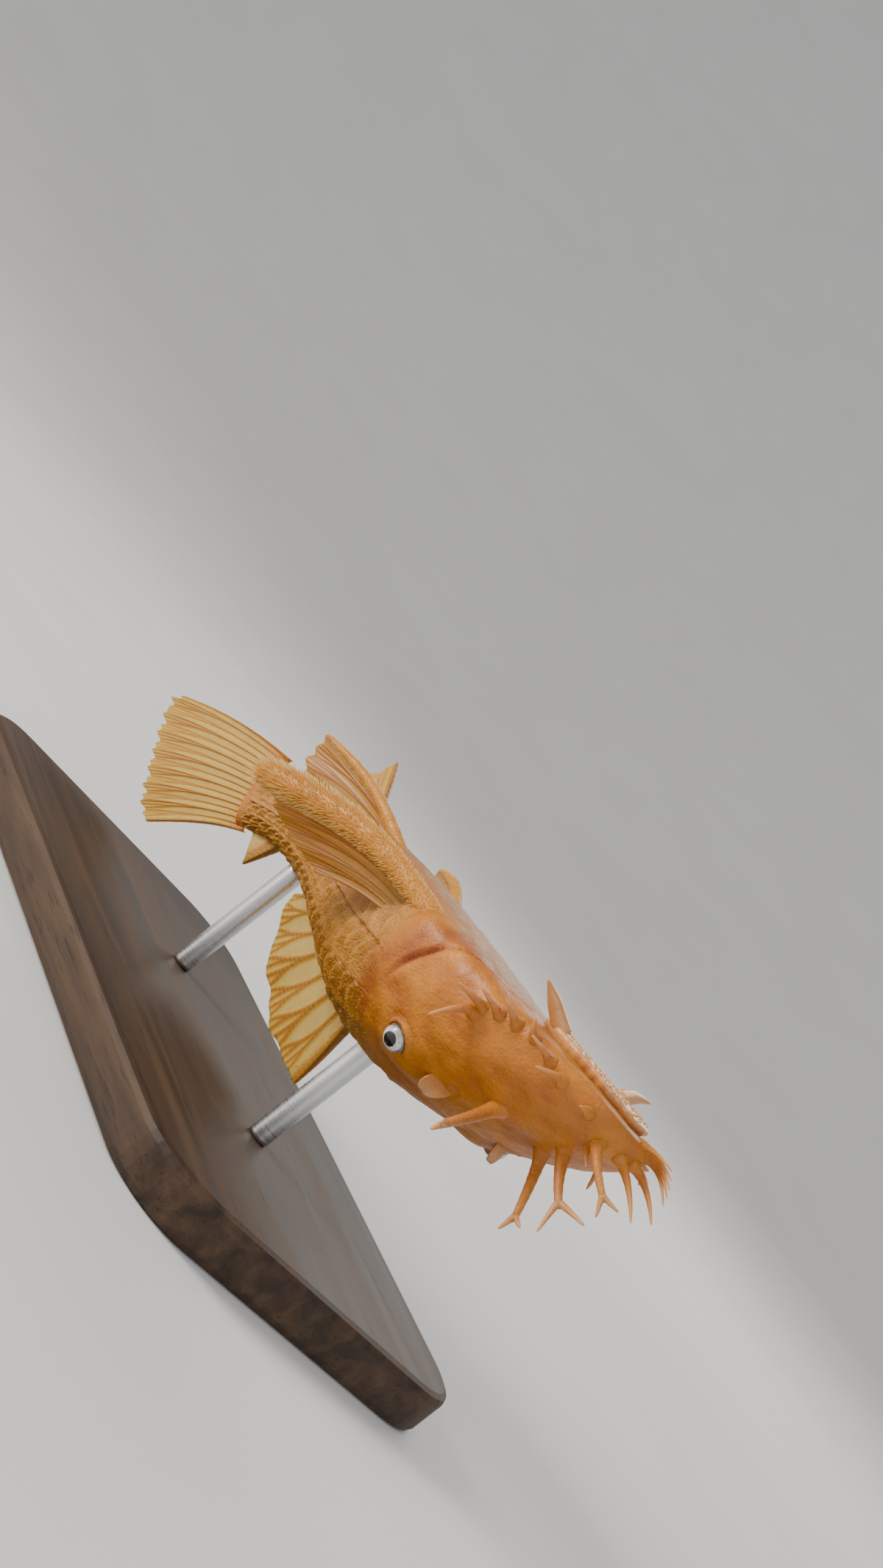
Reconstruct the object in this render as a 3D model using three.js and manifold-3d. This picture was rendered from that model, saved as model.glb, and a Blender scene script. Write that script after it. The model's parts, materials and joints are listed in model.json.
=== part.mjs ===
// A life-size display model of a golden bristlenose pleco, an adult male with branched snout tentacles.
// The fish hangs belly up, as it does under driftwood, and two short rods hold it above a flat base.
// The fish is drawn in its own frame, in millimetres: +X towards the snout, +Y to its left, +Z to its back,
// with the snout at x = 0 and the belly plane at z = 0. One group then turns the whole fish belly up.
import * as THREE from "three";
import { mergeVertices } from "three/addons/utils/BufferGeometryUtils.js";
import Module from "manifold-3d";

const wasm = await Module();
wasm.setup();

// Driving dimensions. Body proportions are shares of the standard length, snout to tail-fin root.
const STANDARD_LENGTH = 92;
const SHARE = STANDARD_LENGTH / 100; // 1 % of the standard length, in mm
const GAP = 0.3; // between touching nodes
const WEB = 0.55; // thickness of a fin membrane
const RAY = 1.05; // thickness over a fin ray

// Stations along the fish, in % of the standard length from the snout
const NECK = 27.8; // head and trunk meet here
const SHIELD_END = 34; // the stiff head shield ends, and the spine may bend behind it
const VENT = 73; // trunk and tail stalk meet here
const TAIL_ROOT = 100; // the tail fin grows from here
const PLATE_COUNT = 22; // plate columns from the head shield to the tail root

// Slight bend of the spine behind the head shield, in degrees for each 1 % of the length
const BEND = [
  { to: 66, yaw: 0.074, pitch: -0.205, twist: 0 },
  { to: 106, yaw: -0.163, pitch: -0.242, twist: -0.369 },
];

// Body section by station: half width, back height, belly height and the height of the widest line, in %
const SECTIONS = [
  [0.0, 0.0, 0.8, 0.0, 0.4],
  [0.6, 4.2, 2.5, -0.7, 0.4],
  [2.0, 6.6, 3.9, -1.0, 0.5],
  [4.5, 9.0, 5.8, -1.1, 0.9],
  [9.0, 11.9, 8.9, -0.8, 1.9],
  [15.0, 14.6, 12.6, -0.4, 3.0],
  [22.0, 16.0, 16.0, -0.1, 4.0],
  [30.0, 16.6, 18.6, 0.0, 4.5],
  [36.0, 16.2, 19.8, 0.0, 4.5],
  [45.0, 14.6, 20.4, 0.0, 5.0],
  [55.0, 12.4, 18.6, 0.0, 5.5],
  [65.0, 9.8, 16.0, 0.2, 5.8],
  [75.0, 7.0, 13.6, 0.8, 6.0],
  [85.0, 4.6, 12.0, 1.6, 6.4],
  [95.0, 2.8, 11.8, 1.4, 6.6],
  [103.0, 1.5, 13.2, 0.2, 6.6],
];
const BACK_ROUNDNESS = 2.3; // superellipse powers of the section above and below its widest line
const BELLY_ROUNDNESS = 3.0;

const radians = THREE.MathUtils.degToRad;
const clamp = THREE.MathUtils.clamp;
const mix = THREE.MathUtils.lerp;

// Smooth reading of a table whose first column rises
function readTable(table, at) {
  const last = table.length - 1;
  let row = 0;
  while (row < last - 1 && at > table[row + 1][0]) row += 1;
  const slope = (i, column) => {
    const before = table[Math.max(i - 1, 0)];
    const after = table[Math.min(i + 1, last)];
    return (after[column] - before[column]) / (after[0] - before[0]);
  };
  const width = table[row + 1][0] - table[row][0];
  const t = clamp((at - table[row][0]) / width, 0, 1);
  return table[row].slice(1).map((value, index) => {
    const column = index + 1;
    const next = table[row + 1][column];
    const a = slope(row, column) * width;
    const b = slope(row + 1, column) * width;
    const shape = t * t * (3 - 2 * t);
    return value + (next - value) * shape + a * t * (1 - t) ** 2 - b * t * t * (1 - t);
  });
}

// The spine: its place and its three directions at each whole station behind the head shield
const spineSteps = [];
{
  const here = {
    at: new THREE.Vector3(-SHIELD_END * SHARE, 0, 0),
    back: new THREE.Vector3(-1, 0, 0),
    left: new THREE.Vector3(0, 1, 0),
    up: new THREE.Vector3(0, 0, 1),
  };
  for (let station = SHIELD_END; station <= BEND[1].to; station += 1) {
    spineSteps.push({
      at: here.at.clone(),
      back: here.back.clone(),
      left: here.left.clone(),
      up: here.up.clone(),
    });
    const bend = station < BEND[0].to ? BEND[0] : BEND[1];
    const turn = here.up
      .clone()
      .multiplyScalar(bend.yaw)
      .addScaledVector(here.left, -bend.pitch)
      .addScaledVector(here.back, bend.twist);
    const angle = radians(turn.length());
    turn.normalize();
    for (const direction of [here.back, here.left, here.up]) direction.applyAxisAngle(turn, angle);
    here.at.addScaledVector(here.back, SHARE);
  }
}

function spineAt(station) {
  if (station <= SHIELD_END) {
    const first = spineSteps[0];
    return { ...first, at: new THREE.Vector3(-station * SHARE, 0, 0) };
  }
  const place = Math.min(station - SHIELD_END, spineSteps.length - 1.001);
  const low = spineSteps[Math.floor(place)];
  const high = spineSteps[Math.floor(place) + 1];
  const share = place - Math.floor(place);
  return {
    at: low.at.clone().lerp(high.at, share),
    back: low.back.clone().lerp(high.back, share).normalize(),
    left: low.left.clone().lerp(high.left, share).normalize(),
    up: low.up.clone().lerp(high.up, share).normalize(),
  };
}

// A point beside the spine: left and up are in %, up from the belly plane
const SPINE_HEIGHT = 7;
function beside(station, left, up) {
  const spine = spineAt(station);
  return new THREE.Vector3(0, 0, SPINE_HEIGHT * SHARE)
    .add(spine.at)
    .addScaledVector(spine.left, left * SHARE)
    .addScaledVector(spine.up, (up - SPINE_HEIGHT) * SHARE);
}

// A direction given as shares backwards, left and up at a station
function towards(station, back, left, up) {
  const spine = spineAt(station);
  return new THREE.Vector3()
    .addScaledVector(spine.back, back)
    .addScaledVector(spine.left, left)
    .addScaledVector(spine.up, up)
    .normalize();
}

// Bony plates: five rows a side, raised most at their rear edge
const PLATE_ROWS = 5;
const PLATE_TOP = 88; // degrees of section angle covered by the rows of one side
const PLATE_LOW = -28;
const PLATE_RISE = 0.42; // mm
const platePitch = (TAIL_ROOT - SHIELD_END) / PLATE_COUNT;

function plateRise(station, angle) {
  const side = angle > 90 && angle < 270 ? 180 - angle : angle > 270 ? angle - 360 : angle;
  if (side < PLATE_LOW || side > PLATE_TOP || station < SHIELD_END) return 0;
  const row = ((side - PLATE_LOW) / (PLATE_TOP - PLATE_LOW)) * PLATE_ROWS;
  const across = Math.abs((row % 1) - 0.5) * 2;
  const column = (station - SHIELD_END) / platePitch;
  const along = column % 1;
  const ramp = along < 0.84 ? along / 0.84 : (1 - along) / 0.16;
  return PLATE_RISE * (1 - across ** 4) * (0.25 + 0.75 * ramp);
}

// Head shape laid over the plain section, in mm outwards
const EYE = { station: 23.4, angle: 47, radius: 1.65, out: -0.4 };
const GILL = { station: 26.1, slant: 0.14, from: -70, to: 25, depth: 0.7, width: 1.2 };

function bump(distance, width) {
  return Math.exp(-((distance / width) ** 2));
}

function headRise(station, angle) {
  const side = angle > 90 && angle < 270 ? 180 - angle : angle > 270 ? angle - 360 : angle;
  const orbit = 1.15 * bump(station - EYE.station, 4.2) * bump(side - EYE.angle - 5, 17);
  const brow = 0.5 * bump(station - EYE.station + 1, 3.5) * bump(side - EYE.angle - 17, 8);
  const cheek = 0.8 * bump(station - 21.5, 4) * bump(side + 4, 26);
  const shoulder = 0.7 * bump(station - 30.5, 3) * bump(side - 2, 24);
  const slitSpan = side > GILL.from && side < GILL.to ? 1 : 0;
  const slitAt = GILL.station + GILL.slant * side;
  const slit = GILL.depth * bump(station - slitAt, GILL.width) * slitSpan;
  const crown = 0.5 * bump(station - 32, 5) * bump(side - 90, 24);
  return orbit + brow + cheek + shoulder + crown - slit;
}

// The skin: angle is 0 at the left flank, 90 at the back, 180 at the right flank and 270 at the belly
function skin(station, angle, grow = 0) {
  const [half, back, belly, widest] = readTable(SECTIONS, station);
  const cosine = Math.cos(radians(angle));
  const sine = Math.sin(radians(angle));
  const power = 2 / (sine > 0 ? BACK_ROUNDNESS : BELLY_ROUNDNESS);
  const left = half * Math.sign(cosine) * Math.abs(cosine) ** power;
  const reach = sine > 0 ? back - widest : widest - belly;
  const up = widest + reach * Math.sign(sine) * Math.abs(sine) ** power;
  const rise = grow + headRise(station, angle) + plateRise(station, angle);
  const fade = clamp(station / 3, 0, 1);
  const slant = Math.hypot(left / Math.max(half, 0.1) ** 2, (up - widest) / Math.max(reach, 0.1) ** 2);
  const outLeft = slant > 0 ? left / Math.max(half, 0.1) ** 2 / slant : 0;
  const outUp = slant > 0 ? (up - widest) / Math.max(reach, 0.1) ** 2 / slant : 0;
  const lift = (rise * (grow > 0 ? 1 : fade)) / SHARE;
  return beside(station, left + outLeft * lift, up + outUp * lift);
}

// Closed meshes and their joins
function solidOf(points, triangles) {
  const mesh = (flip) =>
    new wasm.Mesh({
      numProp: 3,
      vertProperties: Float32Array.from(points.flatMap((p) => [p.x, p.y, p.z])),
      triVerts: Uint32Array.from(triangles.flatMap(([a, b, c]) => (flip ? [a, c, b] : [a, b, c]))),
    });
  const made = new wasm.Manifold(mesh(false));
  return made.volume() < 0 ? new wasm.Manifold(mesh(true)) : made;
}

function solidOfGeometry(geometry) {
  const bare = geometry.clone();
  bare.deleteAttribute("normal");
  bare.deleteAttribute("uv");
  const merged = mergeVertices(bare, 1e-4);
  const place = merged.attributes.position;
  const points = Array.from({ length: place.count }, (_, i) =>
    new THREE.Vector3().fromBufferAttribute(place, i),
  );
  const index = merged.index.array;
  const triangles = [];
  for (let i = 0; i < index.length; i += 3) {
    const corner = [index[i], index[i + 1], index[i + 2]];
    if (new Set(corner).size === 3) triangles.push(corner);
  }
  return solidOf(points, triangles);
}

function geometryOf(solid) {
  const whole = solid.decompose().reduce((a, b) => (b.volume() > a.volume() ? b : a));
  const mesh = whole.getMesh();
  return new THREE.BufferGeometry()
    .setAttribute("position", new THREE.BufferAttribute(Float32Array.from(mesh.vertProperties), 3))
    .setIndex(new THREE.BufferAttribute(Uint32Array.from(mesh.triVerts), 1));
}

function join(...solids) {
  return solids.flat().reduce((a, b) => a.add(b));
}

// A closed skin over rings of points, with a flat fan at each end
function loft(rings) {
  const count = rings[0].length;
  const points = rings.flat();
  const triangles = [];
  rings.slice(1).forEach((_, r) => {
    for (let i = 0; i < count; i += 1) {
      const j = (i + 1) % count;
      const [a, b, c, d] = [r * count + i, r * count + j, (r + 1) * count + i, (r + 1) * count + j];
      triangles.push([a, b, d], [a, d, c]);
    }
  });
  for (const [ring, start, turned] of [
    [rings[0], 0, true],
    [rings.at(-1), (rings.length - 1) * count, false],
  ]) {
    const middle = ring.reduce((sum, p) => sum.add(p), new THREE.Vector3()).divideScalar(count);
    const centre = points.push(middle) - 1;
    for (let i = 0; i < count; i += 1) {
      const [a, b] = [start + i, start + ((i + 1) % count)];
      triangles.push(turned ? [centre, b, a] : [centre, a, b]);
    }
  }
  return solidOf(points, triangles);
}

// A round rod along points with a radius at each, for tentacles and spines
function taperedTube(path, radii, sides) {
  const rings = path.map((point, i) => {
    const ahead = path[Math.min(i + 1, path.length - 1)].clone().sub(path[Math.max(i - 1, 0)]).normalize();
    const sideways = new THREE.Vector3(0.3, 0.2, 1).cross(ahead).normalize();
    const upwards = ahead.clone().cross(sideways);
    return Array.from({ length: sides }, (_, k) => {
      const turn = (k / sides) * 2 * Math.PI;
      return point
        .clone()
        .addScaledVector(sideways, radii[i] * Math.cos(turn))
        .addScaledVector(upwards, radii[i] * Math.sin(turn));
    });
  });
  return loft(rings);
}

// Body lengths: one ring at each listed station, at the listed section angles
function bodyLength(stations, angles, grow = 0) {
  return loft(stations.map((station) => angles.map((angle) => skin(station, angle, grow))));
}

const HEAD_ANGLES = Array.from({ length: 36 }, (_, i) => i * 10);
const plateAngles = (mirrored) =>
  Array.from({ length: PLATE_ROWS * 3 + 1 }, (_, i) => {
    const angle = mix(PLATE_LOW, PLATE_TOP, i / (PLATE_ROWS * 3));
    return mirrored ? 180 - angle : (angle + 360) % 360;
  });
const BELLY_ANGLES = [225, 245, 262, 278, 295, 315];
const TRUNK_ANGLES = [...plateAngles(false), ...plateAngles(true), ...BELLY_ANGLES].sort((a, b) => a - b);

const halfGap = GAP / 2 / SHARE;

function headStations() {
  const nose = [0.12, 0.35, 0.8, 1.5, 2.6, 4.2, 6.4, 9.2];
  const rest = Array.from({ length: 12 }, (_, i) => mix(12.2, NECK - halfGap, i / 11));
  return [...nose, ...rest];
}

function plateStations(from, to) {
  const found = [from];
  const shield = [28.9, 30.2, 31.6, 33].filter((station) => station > from && station < to);
  found.push(...shield);
  for (let column = 0; column <= PLATE_COUNT; column += 1) {
    const start = SHIELD_END + column * platePitch;
    for (const station of [start + 0.02, start + platePitch * 0.84]) {
      if (station > from + 0.4 && station < to - 0.4) found.push(station);
    }
  }
  return [...found, to];
}

const tailEnd = TAIL_ROOT + 1.2;
const headStationList = headStations();
const trunkStations = plateStations(NECK + halfGap, VENT - halfGap);
const stalkStations = plateStations(VENT + halfGap, tailEnd);
const GROWN_ANGLES = Array.from({ length: 36 }, (_, i) => i * 10);
const grownStations = Array.from({ length: 30 }, (_, i) => mix(1, tailEnd + 0.35, i / 29));
const grownBody = loft(
  grownStations.map((station) => GROWN_ANGLES.map((angle) => skin(station, angle, GAP + PLATE_RISE * 0.5))),
);

const unswayed = () => new THREE.Vector3();

// A fin: rays fan from a root line, and each ray is a ridge on both faces of the membrane.
// Sway bends the rays.
function finSheet({
  rays,
  root,
  direction,
  length,
  normal,
  steps = 7,
  sway = unswayed,
  edge = 0.35,
  ridge = RAY,
}) {
  const columns = rays * 2 - 1;
  const faces = [[], []];
  for (let i = 0; i <= steps; i += 1) {
    const along = i / steps;
    for (let j = 0; j < columns; j += 1) {
      const across = j / (columns - 1);
      const ridged = j % 2 === 0;
      const notch = ridged ? 1 : 0.965;
      const out = normal(across);
      const point = root(across)
        .clone()
        .addScaledVector(direction(across), length(across) * along * notch)
        .add(sway(across, along));
      const thick = mix(ridged ? ridge : WEB, edge, along ** 1.5) / 2;
      faces[0].push(point.clone().addScaledVector(out, thick));
      faces[1].push(point.clone().addScaledVector(out, -thick));
    }
  }
  const size = faces[0].length;
  const triangles = [];
  const at = (i, j) => i * columns + j;
  for (let i = 0; i < steps; i += 1) {
    for (let j = 0; j < columns - 1; j += 1) {
      const [a, b, c, d] = [at(i, j), at(i, j + 1), at(i + 1, j), at(i + 1, j + 1)];
      triangles.push([a, b, d], [a, d, c], [a + size, d + size, b + size], [a + size, c + size, d + size]);
    }
  }
  const rim = [];
  for (let j = 0; j < columns - 1; j += 1) {
    rim.push([at(0, j + 1), at(0, j)], [at(steps, j), at(steps, j + 1)]);
  }
  for (let i = 0; i < steps; i += 1) {
    rim.push([at(i, 0), at(i + 1, 0)], [at(i + 1, columns - 1), at(i, columns - 1)]);
  }
  for (const [a, b] of rim) triangles.push([a, b, b + size], [a, b + size, a + size]);
  return solidOf([...faces[0], ...faces[1]], triangles);
}

const blendDirections = (first, last) => (across) => first.clone().lerp(last, across).normalize();
const steady = (vector) => () => vector;

// Dorsal fin: one spine and seven rays, half raised and leaning a little to the right
function dorsalFin() {
  const [from, to] = [45, 71];
  const station = (across) => mix(from, to, across);
  const lengths = [
    [0, 14.5],
    [0.35, 16.5],
    [0.7, 14.5],
    [1, 8],
  ];
  return finSheet({
    rays: 8,
    root: (across) => beside(station(across), 0, readTable(SECTIONS, station(across))[1] - 2),
    direction: blendDirections(towards(from, 0.3, -0.4, 1), towards(to, 1, -0.1, 0.4)),
    length: (across) => readTable(lengths, across)[0] * SHARE,
    normal: (across) => towards(station(across), 0.1, 1, 0.36),
    steps: 8,
  }).subtract(grownBody);
}

// Adipose fin: a short spine with a small web behind it
function adiposeFin() {
  const [from, to] = [87, 95];
  const station = (across) => mix(from, to, across);
  return finSheet({
    rays: 2,
    root: (across) => beside(station(across), 0, readTable(SECTIONS, station(across))[1] - 1.6),
    direction: blendDirections(towards(from, 0.9, 0, 1), towards(to, 1, 0, 0.75)),
    length: (across) => mix(9.2, 2.6, across) * SHARE,
    normal: steady(towards(90, 0, 1, 0)),
    steps: 5,
    ridge: 1.4,
  }).subtract(grownBody);
}

// Tail fin: sixteen rays, the lower lobe longer
function tailFin() {
  const lengths = [
    [0, 22.5],
    [0.3, 26.5],
    [0.65, 31],
    [1, 35.5],
  ];
  const curl = towards(TAIL_ROOT, 0, 0.4, 1).multiplyScalar(3.9);
  return finSheet({
    rays: 16,
    root: (across) => beside(TAIL_ROOT - 0.6, 0, mix(13.2, 0.2, across)),
    direction: blendDirections(towards(TAIL_ROOT, 1, 0, 0.16), towards(TAIL_ROOT, 1, 0, -0.12)),
    length: (across) => readTable(lengths, across)[0] * SHARE,
    normal: steady(towards(TAIL_ROOT, 0, 1, 0)),
    steps: 7,
    sway: (across, along) => curl.clone().multiplyScalar(along * along),
  }).subtract(grownBody);
}

// Anal fin: one spine and four rays
function analFin() {
  const [from, to] = [73.8, 78.5];
  const station = (across) => mix(from, to, across);
  return finSheet({
    rays: 5,
    root: (across) => beside(station(across), 0, readTable(SECTIONS, station(across))[2] + 1.4),
    direction: blendDirections(towards(from, 0.75, 0, -1), towards(to, 1, 0, -0.5)),
    length: (across) => mix(13, 8.5, across) * SHARE,
    normal: steady(towards(76, 0, 1, 0)),
    steps: 5,
  }).subtract(grownBody);
}

// A line that leaves its root straight and arches most halfway
const arched = (root, direction, length, arch) => (along) =>
  root
    .clone()
    .addScaledVector(direction, length * along)
    .addScaledVector(arch, Math.sin(Math.PI * along));

// A spine of bristly bone along the front edge of a paired fin
function finSpine(line, radii) {
  const steps = 9;
  const path = Array.from({ length: steps + 1 }, (_, i) => line(i / steps));
  const girth = path.map((_, i) => readTable(radii, i / steps)[0] * (i === steps ? 0.45 : 1));
  return taperedTube(path, girth, 10);
}

// Small hooked bristles on the outer half of a male's pectoral spine
function spineBristles(line, direction, outward, count, radius) {
  return Array.from({ length: count }, (_, i) => {
    const along = mix(0.5, 0.985, i / (count - 1));
    const turn = i * 2.4;
    const around = outward
      .clone()
      .applyAxisAngle(direction, turn)
      .normalize();
    const start = line(along).addScaledVector(around, radius * 0.55);
    const tip = start
      .clone()
      .addScaledVector(around, radius * 0.5 + 0.75)
      .addScaledVector(direction, 1.5);
    return taperedTube([start, start.clone().lerp(tip, 0.6), tip], [0.42, 0.3, 0.1], 5);
  });
}

// Pectoral fin: a thick bristly spine and six rays, folded back along the flank
function pectoralFin(side) {
  const root = beside(30.2, 13.2 * side, 3.3);
  const trailing = beside(32.2, 13.0 * side, 6.6);
  const first = towards(SHIELD_END, 1, 0.56 * side, 0.21);
  const last = towards(SHIELD_END, 1, 0.4 * side, 0.3);
  const out = first.clone().cross(trailing.clone().sub(root)).normalize();
  const arch = towards(SHIELD_END, 0, 0, -1).multiplyScalar(2.8);
  const line = arched(root, first, 34 * SHARE, arch);
  const lengths = [
    [0, 32],
    [0.5, 27],
    [1, 18],
  ];
  const web = finSheet({
    rays: 7,
    root: (across) => root.clone().lerp(trailing, across),
    direction: blendDirections(first, last),
    length: (across) => readTable(lengths, across)[0] * SHARE,
    normal: steady(out),
    steps: 9,
    sway: (across, along) => arch.clone().multiplyScalar(Math.sin(Math.PI * along) * (1 - 0.5 * across)),
  });
  const radii = [
    [0, 1.35],
    [0.3, 1.3],
    [0.7, 1.65],
    [1, 1.25],
  ];
  const spine = finSpine(line, radii);
  const bristles = spineBristles(line, first, out, 12, 1.6);
  return join(web, spine, bristles).subtract(grownBody);
}

// Pelvic fin: one spine and five rays, fanned out beside the belly
function pelvicFin(side) {
  const root = beside(57, 6.6 * side, 1.4);
  const inner = beside(58.8, 5.4 * side, 2.2);
  const first = towards(55, 1, 0.42 * side, -0.14);
  const last = towards(55, 1, 0.5 * side, 0.34);
  const out = first.clone().cross(last).normalize();
  const arch = towards(55, 0, 0, -1).multiplyScalar(1.3);
  const lengths = [
    [0, 22.5],
    [0.5, 20.5],
    [1, 15],
  ];
  const web = finSheet({
    rays: 6,
    root: (across) => root.clone().lerp(inner, across),
    direction: blendDirections(first, last),
    length: (across) => readTable(lengths, across)[0] * SHARE,
    normal: steady(out),
    steps: 8,
    sway: (across, along) => arch.clone().multiplyScalar(Math.sin(Math.PI * along) * (1 - 0.5 * across)),
  });
  const radii = [
    [0, 0.95],
    [0.6, 0.8],
    [1, 0.4],
  ];
  const spine = finSpine(arched(root, first, 23 * SHARE, arch), radii);
  return join(web, spine).subtract(grownBody);
}

// Snout tentacles. Each leaves the skin square on and bends to its tip, and a long one ends in two tines.
const BRANCHED = [
  // station, section angle, tip forwards, leftwards and upwards of the foot in %,
  // girth in mm, tine length in %
  [10.6, 66, 4.1, 7.5, 5.5, 0.78, 1.2],
  [9.2, 100, 6.7, 1.3, 6.8, 0.68, 1.9],
  [5.3, 92, 6.1, -0.1, 4.2, 0.72, 3.7],
  [0.9, 72, 6.6, -0.6, 3.1, 0.6, 1.8],
  [0.5, 118, 7.2, -0.9, 3.0, 0.52, 0],
  [0.8, 158, 6.9, -1.4, 2.2, 0.52, 0],
  [2.2, 84, 2.2, -0.1, 1.4, 0.36, 0],
];
const EDGE_ROW = [
  // station, section angle, then as above: one side's row along the edge of the snout, from cheek to tip
  [15.8, 8, 0.3, 4.2, 4.0, 0.62],
  [15.2, 3, -1.1, 4.5, 0.3, 0.58],
  [13.6, 0, -1.0, 3.9, -0.4, 0.56],
  [11.6, -4, -0.8, 3.2, -0.9, 0.54],
  [9.4, -8, -0.2, 2.2, -1.6, 0.5],
  [6.6, 0, -1.0, 3.9, -0.3, 0.54],
  [4.7, 6, -0.6, 3.6, 1.2, 0.54],
  [1.6, 15, 0.8, 2.4, 0.2, 0.48],
];
const FRONT_ROW = { count: 5, station: 1.1, from: 196, to: 246, length: 5.6, girth: 0.36 };

function tentacle([station, angle, forwards, leftwards, upwards, girth, tine = 0]) {
  const foot = skin(station, angle);
  const under = station + 3;
  const outward = foot.clone().sub(beside(under, 0, readTable(SECTIONS, under)[3] + 0.5)).normalize();
  const tip = foot.clone().addScaledVector(new THREE.Vector3(forwards, leftwards, upwards), SHARE);
  const length = tip.distanceTo(foot);
  const bend = foot.clone().addScaledVector(outward, length * 0.42);
  const curve = new THREE.QuadraticBezierCurve3(foot, bend, tip);
  const inside = foot.clone().addScaledVector(outward, -0.9);
  const path = [inside, ...curve.getPoints(4)];
  const thin = tine > 0 ? 0.58 : 0.3;
  const radii = path.map((_, i) => girth * (i === 0 ? 1.35 : mix(1.2, thin, ((i - 1) / 4) ** 0.8)));
  const pieces = [taperedTube(path, radii, 6)];
  const ahead = curve.getTangent(1);
  const across = new THREE.Vector3(0, 0.35, 1).addScaledVector(ahead, -ahead.z - 0.35 * ahead.y).normalize();
  for (const way of tine > 0 ? [-1, 1] : []) {
    const heading = ahead.clone().multiplyScalar(0.75).addScaledVector(across, 0.7 * way);
    const start = tip.clone().addScaledVector(ahead, -0.4);
    const end = tip.clone().addScaledVector(heading, tine * SHARE);
    const tines = [0.56, 0.44, 0.2].map((share) => girth * share);
    pieces.push(taperedTube([start, start.clone().lerp(end, 0.5), end], tines, 5));
  }
  return join(pieces);
}

function snoutTentacles() {
  const mirrored = EDGE_ROW.map(([station, angle, forwards, leftwards, ...rest]) => [
    station * 0.97,
    180 - angle,
    forwards,
    -leftwards,
    ...rest,
  ]);
  const front = Array.from({ length: FRONT_ROW.count }, (_, i) => {
    const share = i / (FRONT_ROW.count - 1);
    const angle = mix(FRONT_ROW.from, FRONT_ROW.to, share);
    const rise = mix(1.6, -0.9, share);
    return [FRONT_ROW.station, angle, FRONT_ROW.length * mix(1, 0.8, share), -1.3, rise, FRONT_ROW.girth];
  });
  return [...BRANCHED, ...EDGE_ROW, ...mirrored, ...front].map(tentacle);
}

// Nostril flaps and the orbit sockets
const eyeCentre = (side) => {
  const angle = side > 0 ? EYE.angle : 180 - EYE.angle;
  const surface = skin(EYE.station, angle);
  const inside = beside(EYE.station, 0, 5);
  return surface.clone().addScaledVector(surface.clone().sub(inside).normalize(), EYE.out);
};
const ball = (centre, radius, wide, high) =>
  solidOfGeometry(new THREE.SphereGeometry(radius, wide, high).translate(centre.x, centre.y, centre.z));

function nostrilFlap(side) {
  const angle = side > 0 ? 66 : 114;
  const foot = skin(18.0, angle);
  const tall = towards(SHIELD_END, 0.25, 0.35 * side, 1);
  const rings = [-0.8, 0.6, 1.6, 2.2].map((height, i) => {
    const middle = foot.clone().addScaledVector(tall, height);
    const across = [1.6, 1.6, 1.25, 0.5][i];
    return Array.from({ length: 10 }, (_, k) => {
      const turn = (k / 10) * 2 * Math.PI;
      return middle
        .clone()
        .addScaledVector(towards(SHIELD_END, 0.4, 1 * side, 0), across * Math.cos(turn))
        .addScaledVector(towards(SHIELD_END, 1, -0.4 * side, 0), 0.42 * Math.sin(turn));
    });
  });
  return loft(rings);
}

function head() {
  const skinOnly = bodyLength(headStationList, HEAD_ANGLES);
  const whole = join(skinOnly, snoutTentacles(), nostrilFlap(1), nostrilFlap(-1));
  return [1, -1].reduce((rest, side) => {
    const nostril = ball(skin(16.0, side > 0 ? 66 : 114), 0.75, 8, 6);
    return rest.subtract(ball(eyeCentre(side), EYE.radius + GAP, 18, 12)).subtract(nostril);
  }, whole);
}

// Sucker mouth: a round lip disc under the snout, with a barbel at each corner and a cleft for the mouth
const MOUTH = { station: 10.8, half: 8.6, reach: 8.5 };

function mouthDisc() {
  const sides = 32;
  const rings = [
    [0.9, -1.2],
    [0.97, 0.0],
    [1.0, 0.55],
    [0.94, 0.95],
    [0.78, 1.1],
    [0.55, 0.9],
    [0.34, 0.7],
    [0.12, 0.6],
  ].map(([share, proud]) =>
    Array.from({ length: sides }, (_, k) => {
      const turn = (k / sides) * 2 * Math.PI;
      const lobes = 1 + 0.025 * Math.cos(turn * 10);
      const station = MOUTH.station - MOUTH.reach * share * lobes * Math.cos(turn);
      const left = MOUTH.half * share * lobes * Math.sin(turn);
      const belly = readTable(SECTIONS, Math.max(station, 2))[2];
      return beside(station, left, belly - proud / SHARE);
    }),
  );
  const disc = loft(rings);
  const barbels = [1, -1].map((side) => {
    const root = beside(12.6, 7.0 * side, -1.3);
    const tip = beside(14.4, 13.2 * side, -3.9);
    return taperedTube([root, root.clone().lerp(tip, 0.5), tip], [1.1, 0.85, 0.22], 7);
  });
  const opening = beside(MOUTH.station + 0.4, 0, -1.9);
  const cleft = new THREE.SphereGeometry(1, 14, 8)
    .scale(0.8, 3.1, 1.1)
    .translate(opening.x, opening.y, opening.z);
  return join(disc, barbels)
    .subtract(bodyLength(headStationList, HEAD_ANGLES, GAP))
    .subtract(solidOfGeometry(cleft));
}

// Display stand: a flat base and two rods that meet the back of the fish
const BASE = { length: 104, width: 58, thick: 6, corner: 9, bevel: 1.0 };
const ROD_RADIUS = 1.5;
const CLEARANCE = 3.5; // between the lowest fin tip and the base

function addNode(group, name, solid, material) {
  const mesh = new THREE.Mesh(geometryOf(solid), material);
  mesh.name = name;
  group.add(mesh);
  return mesh;
}

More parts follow.
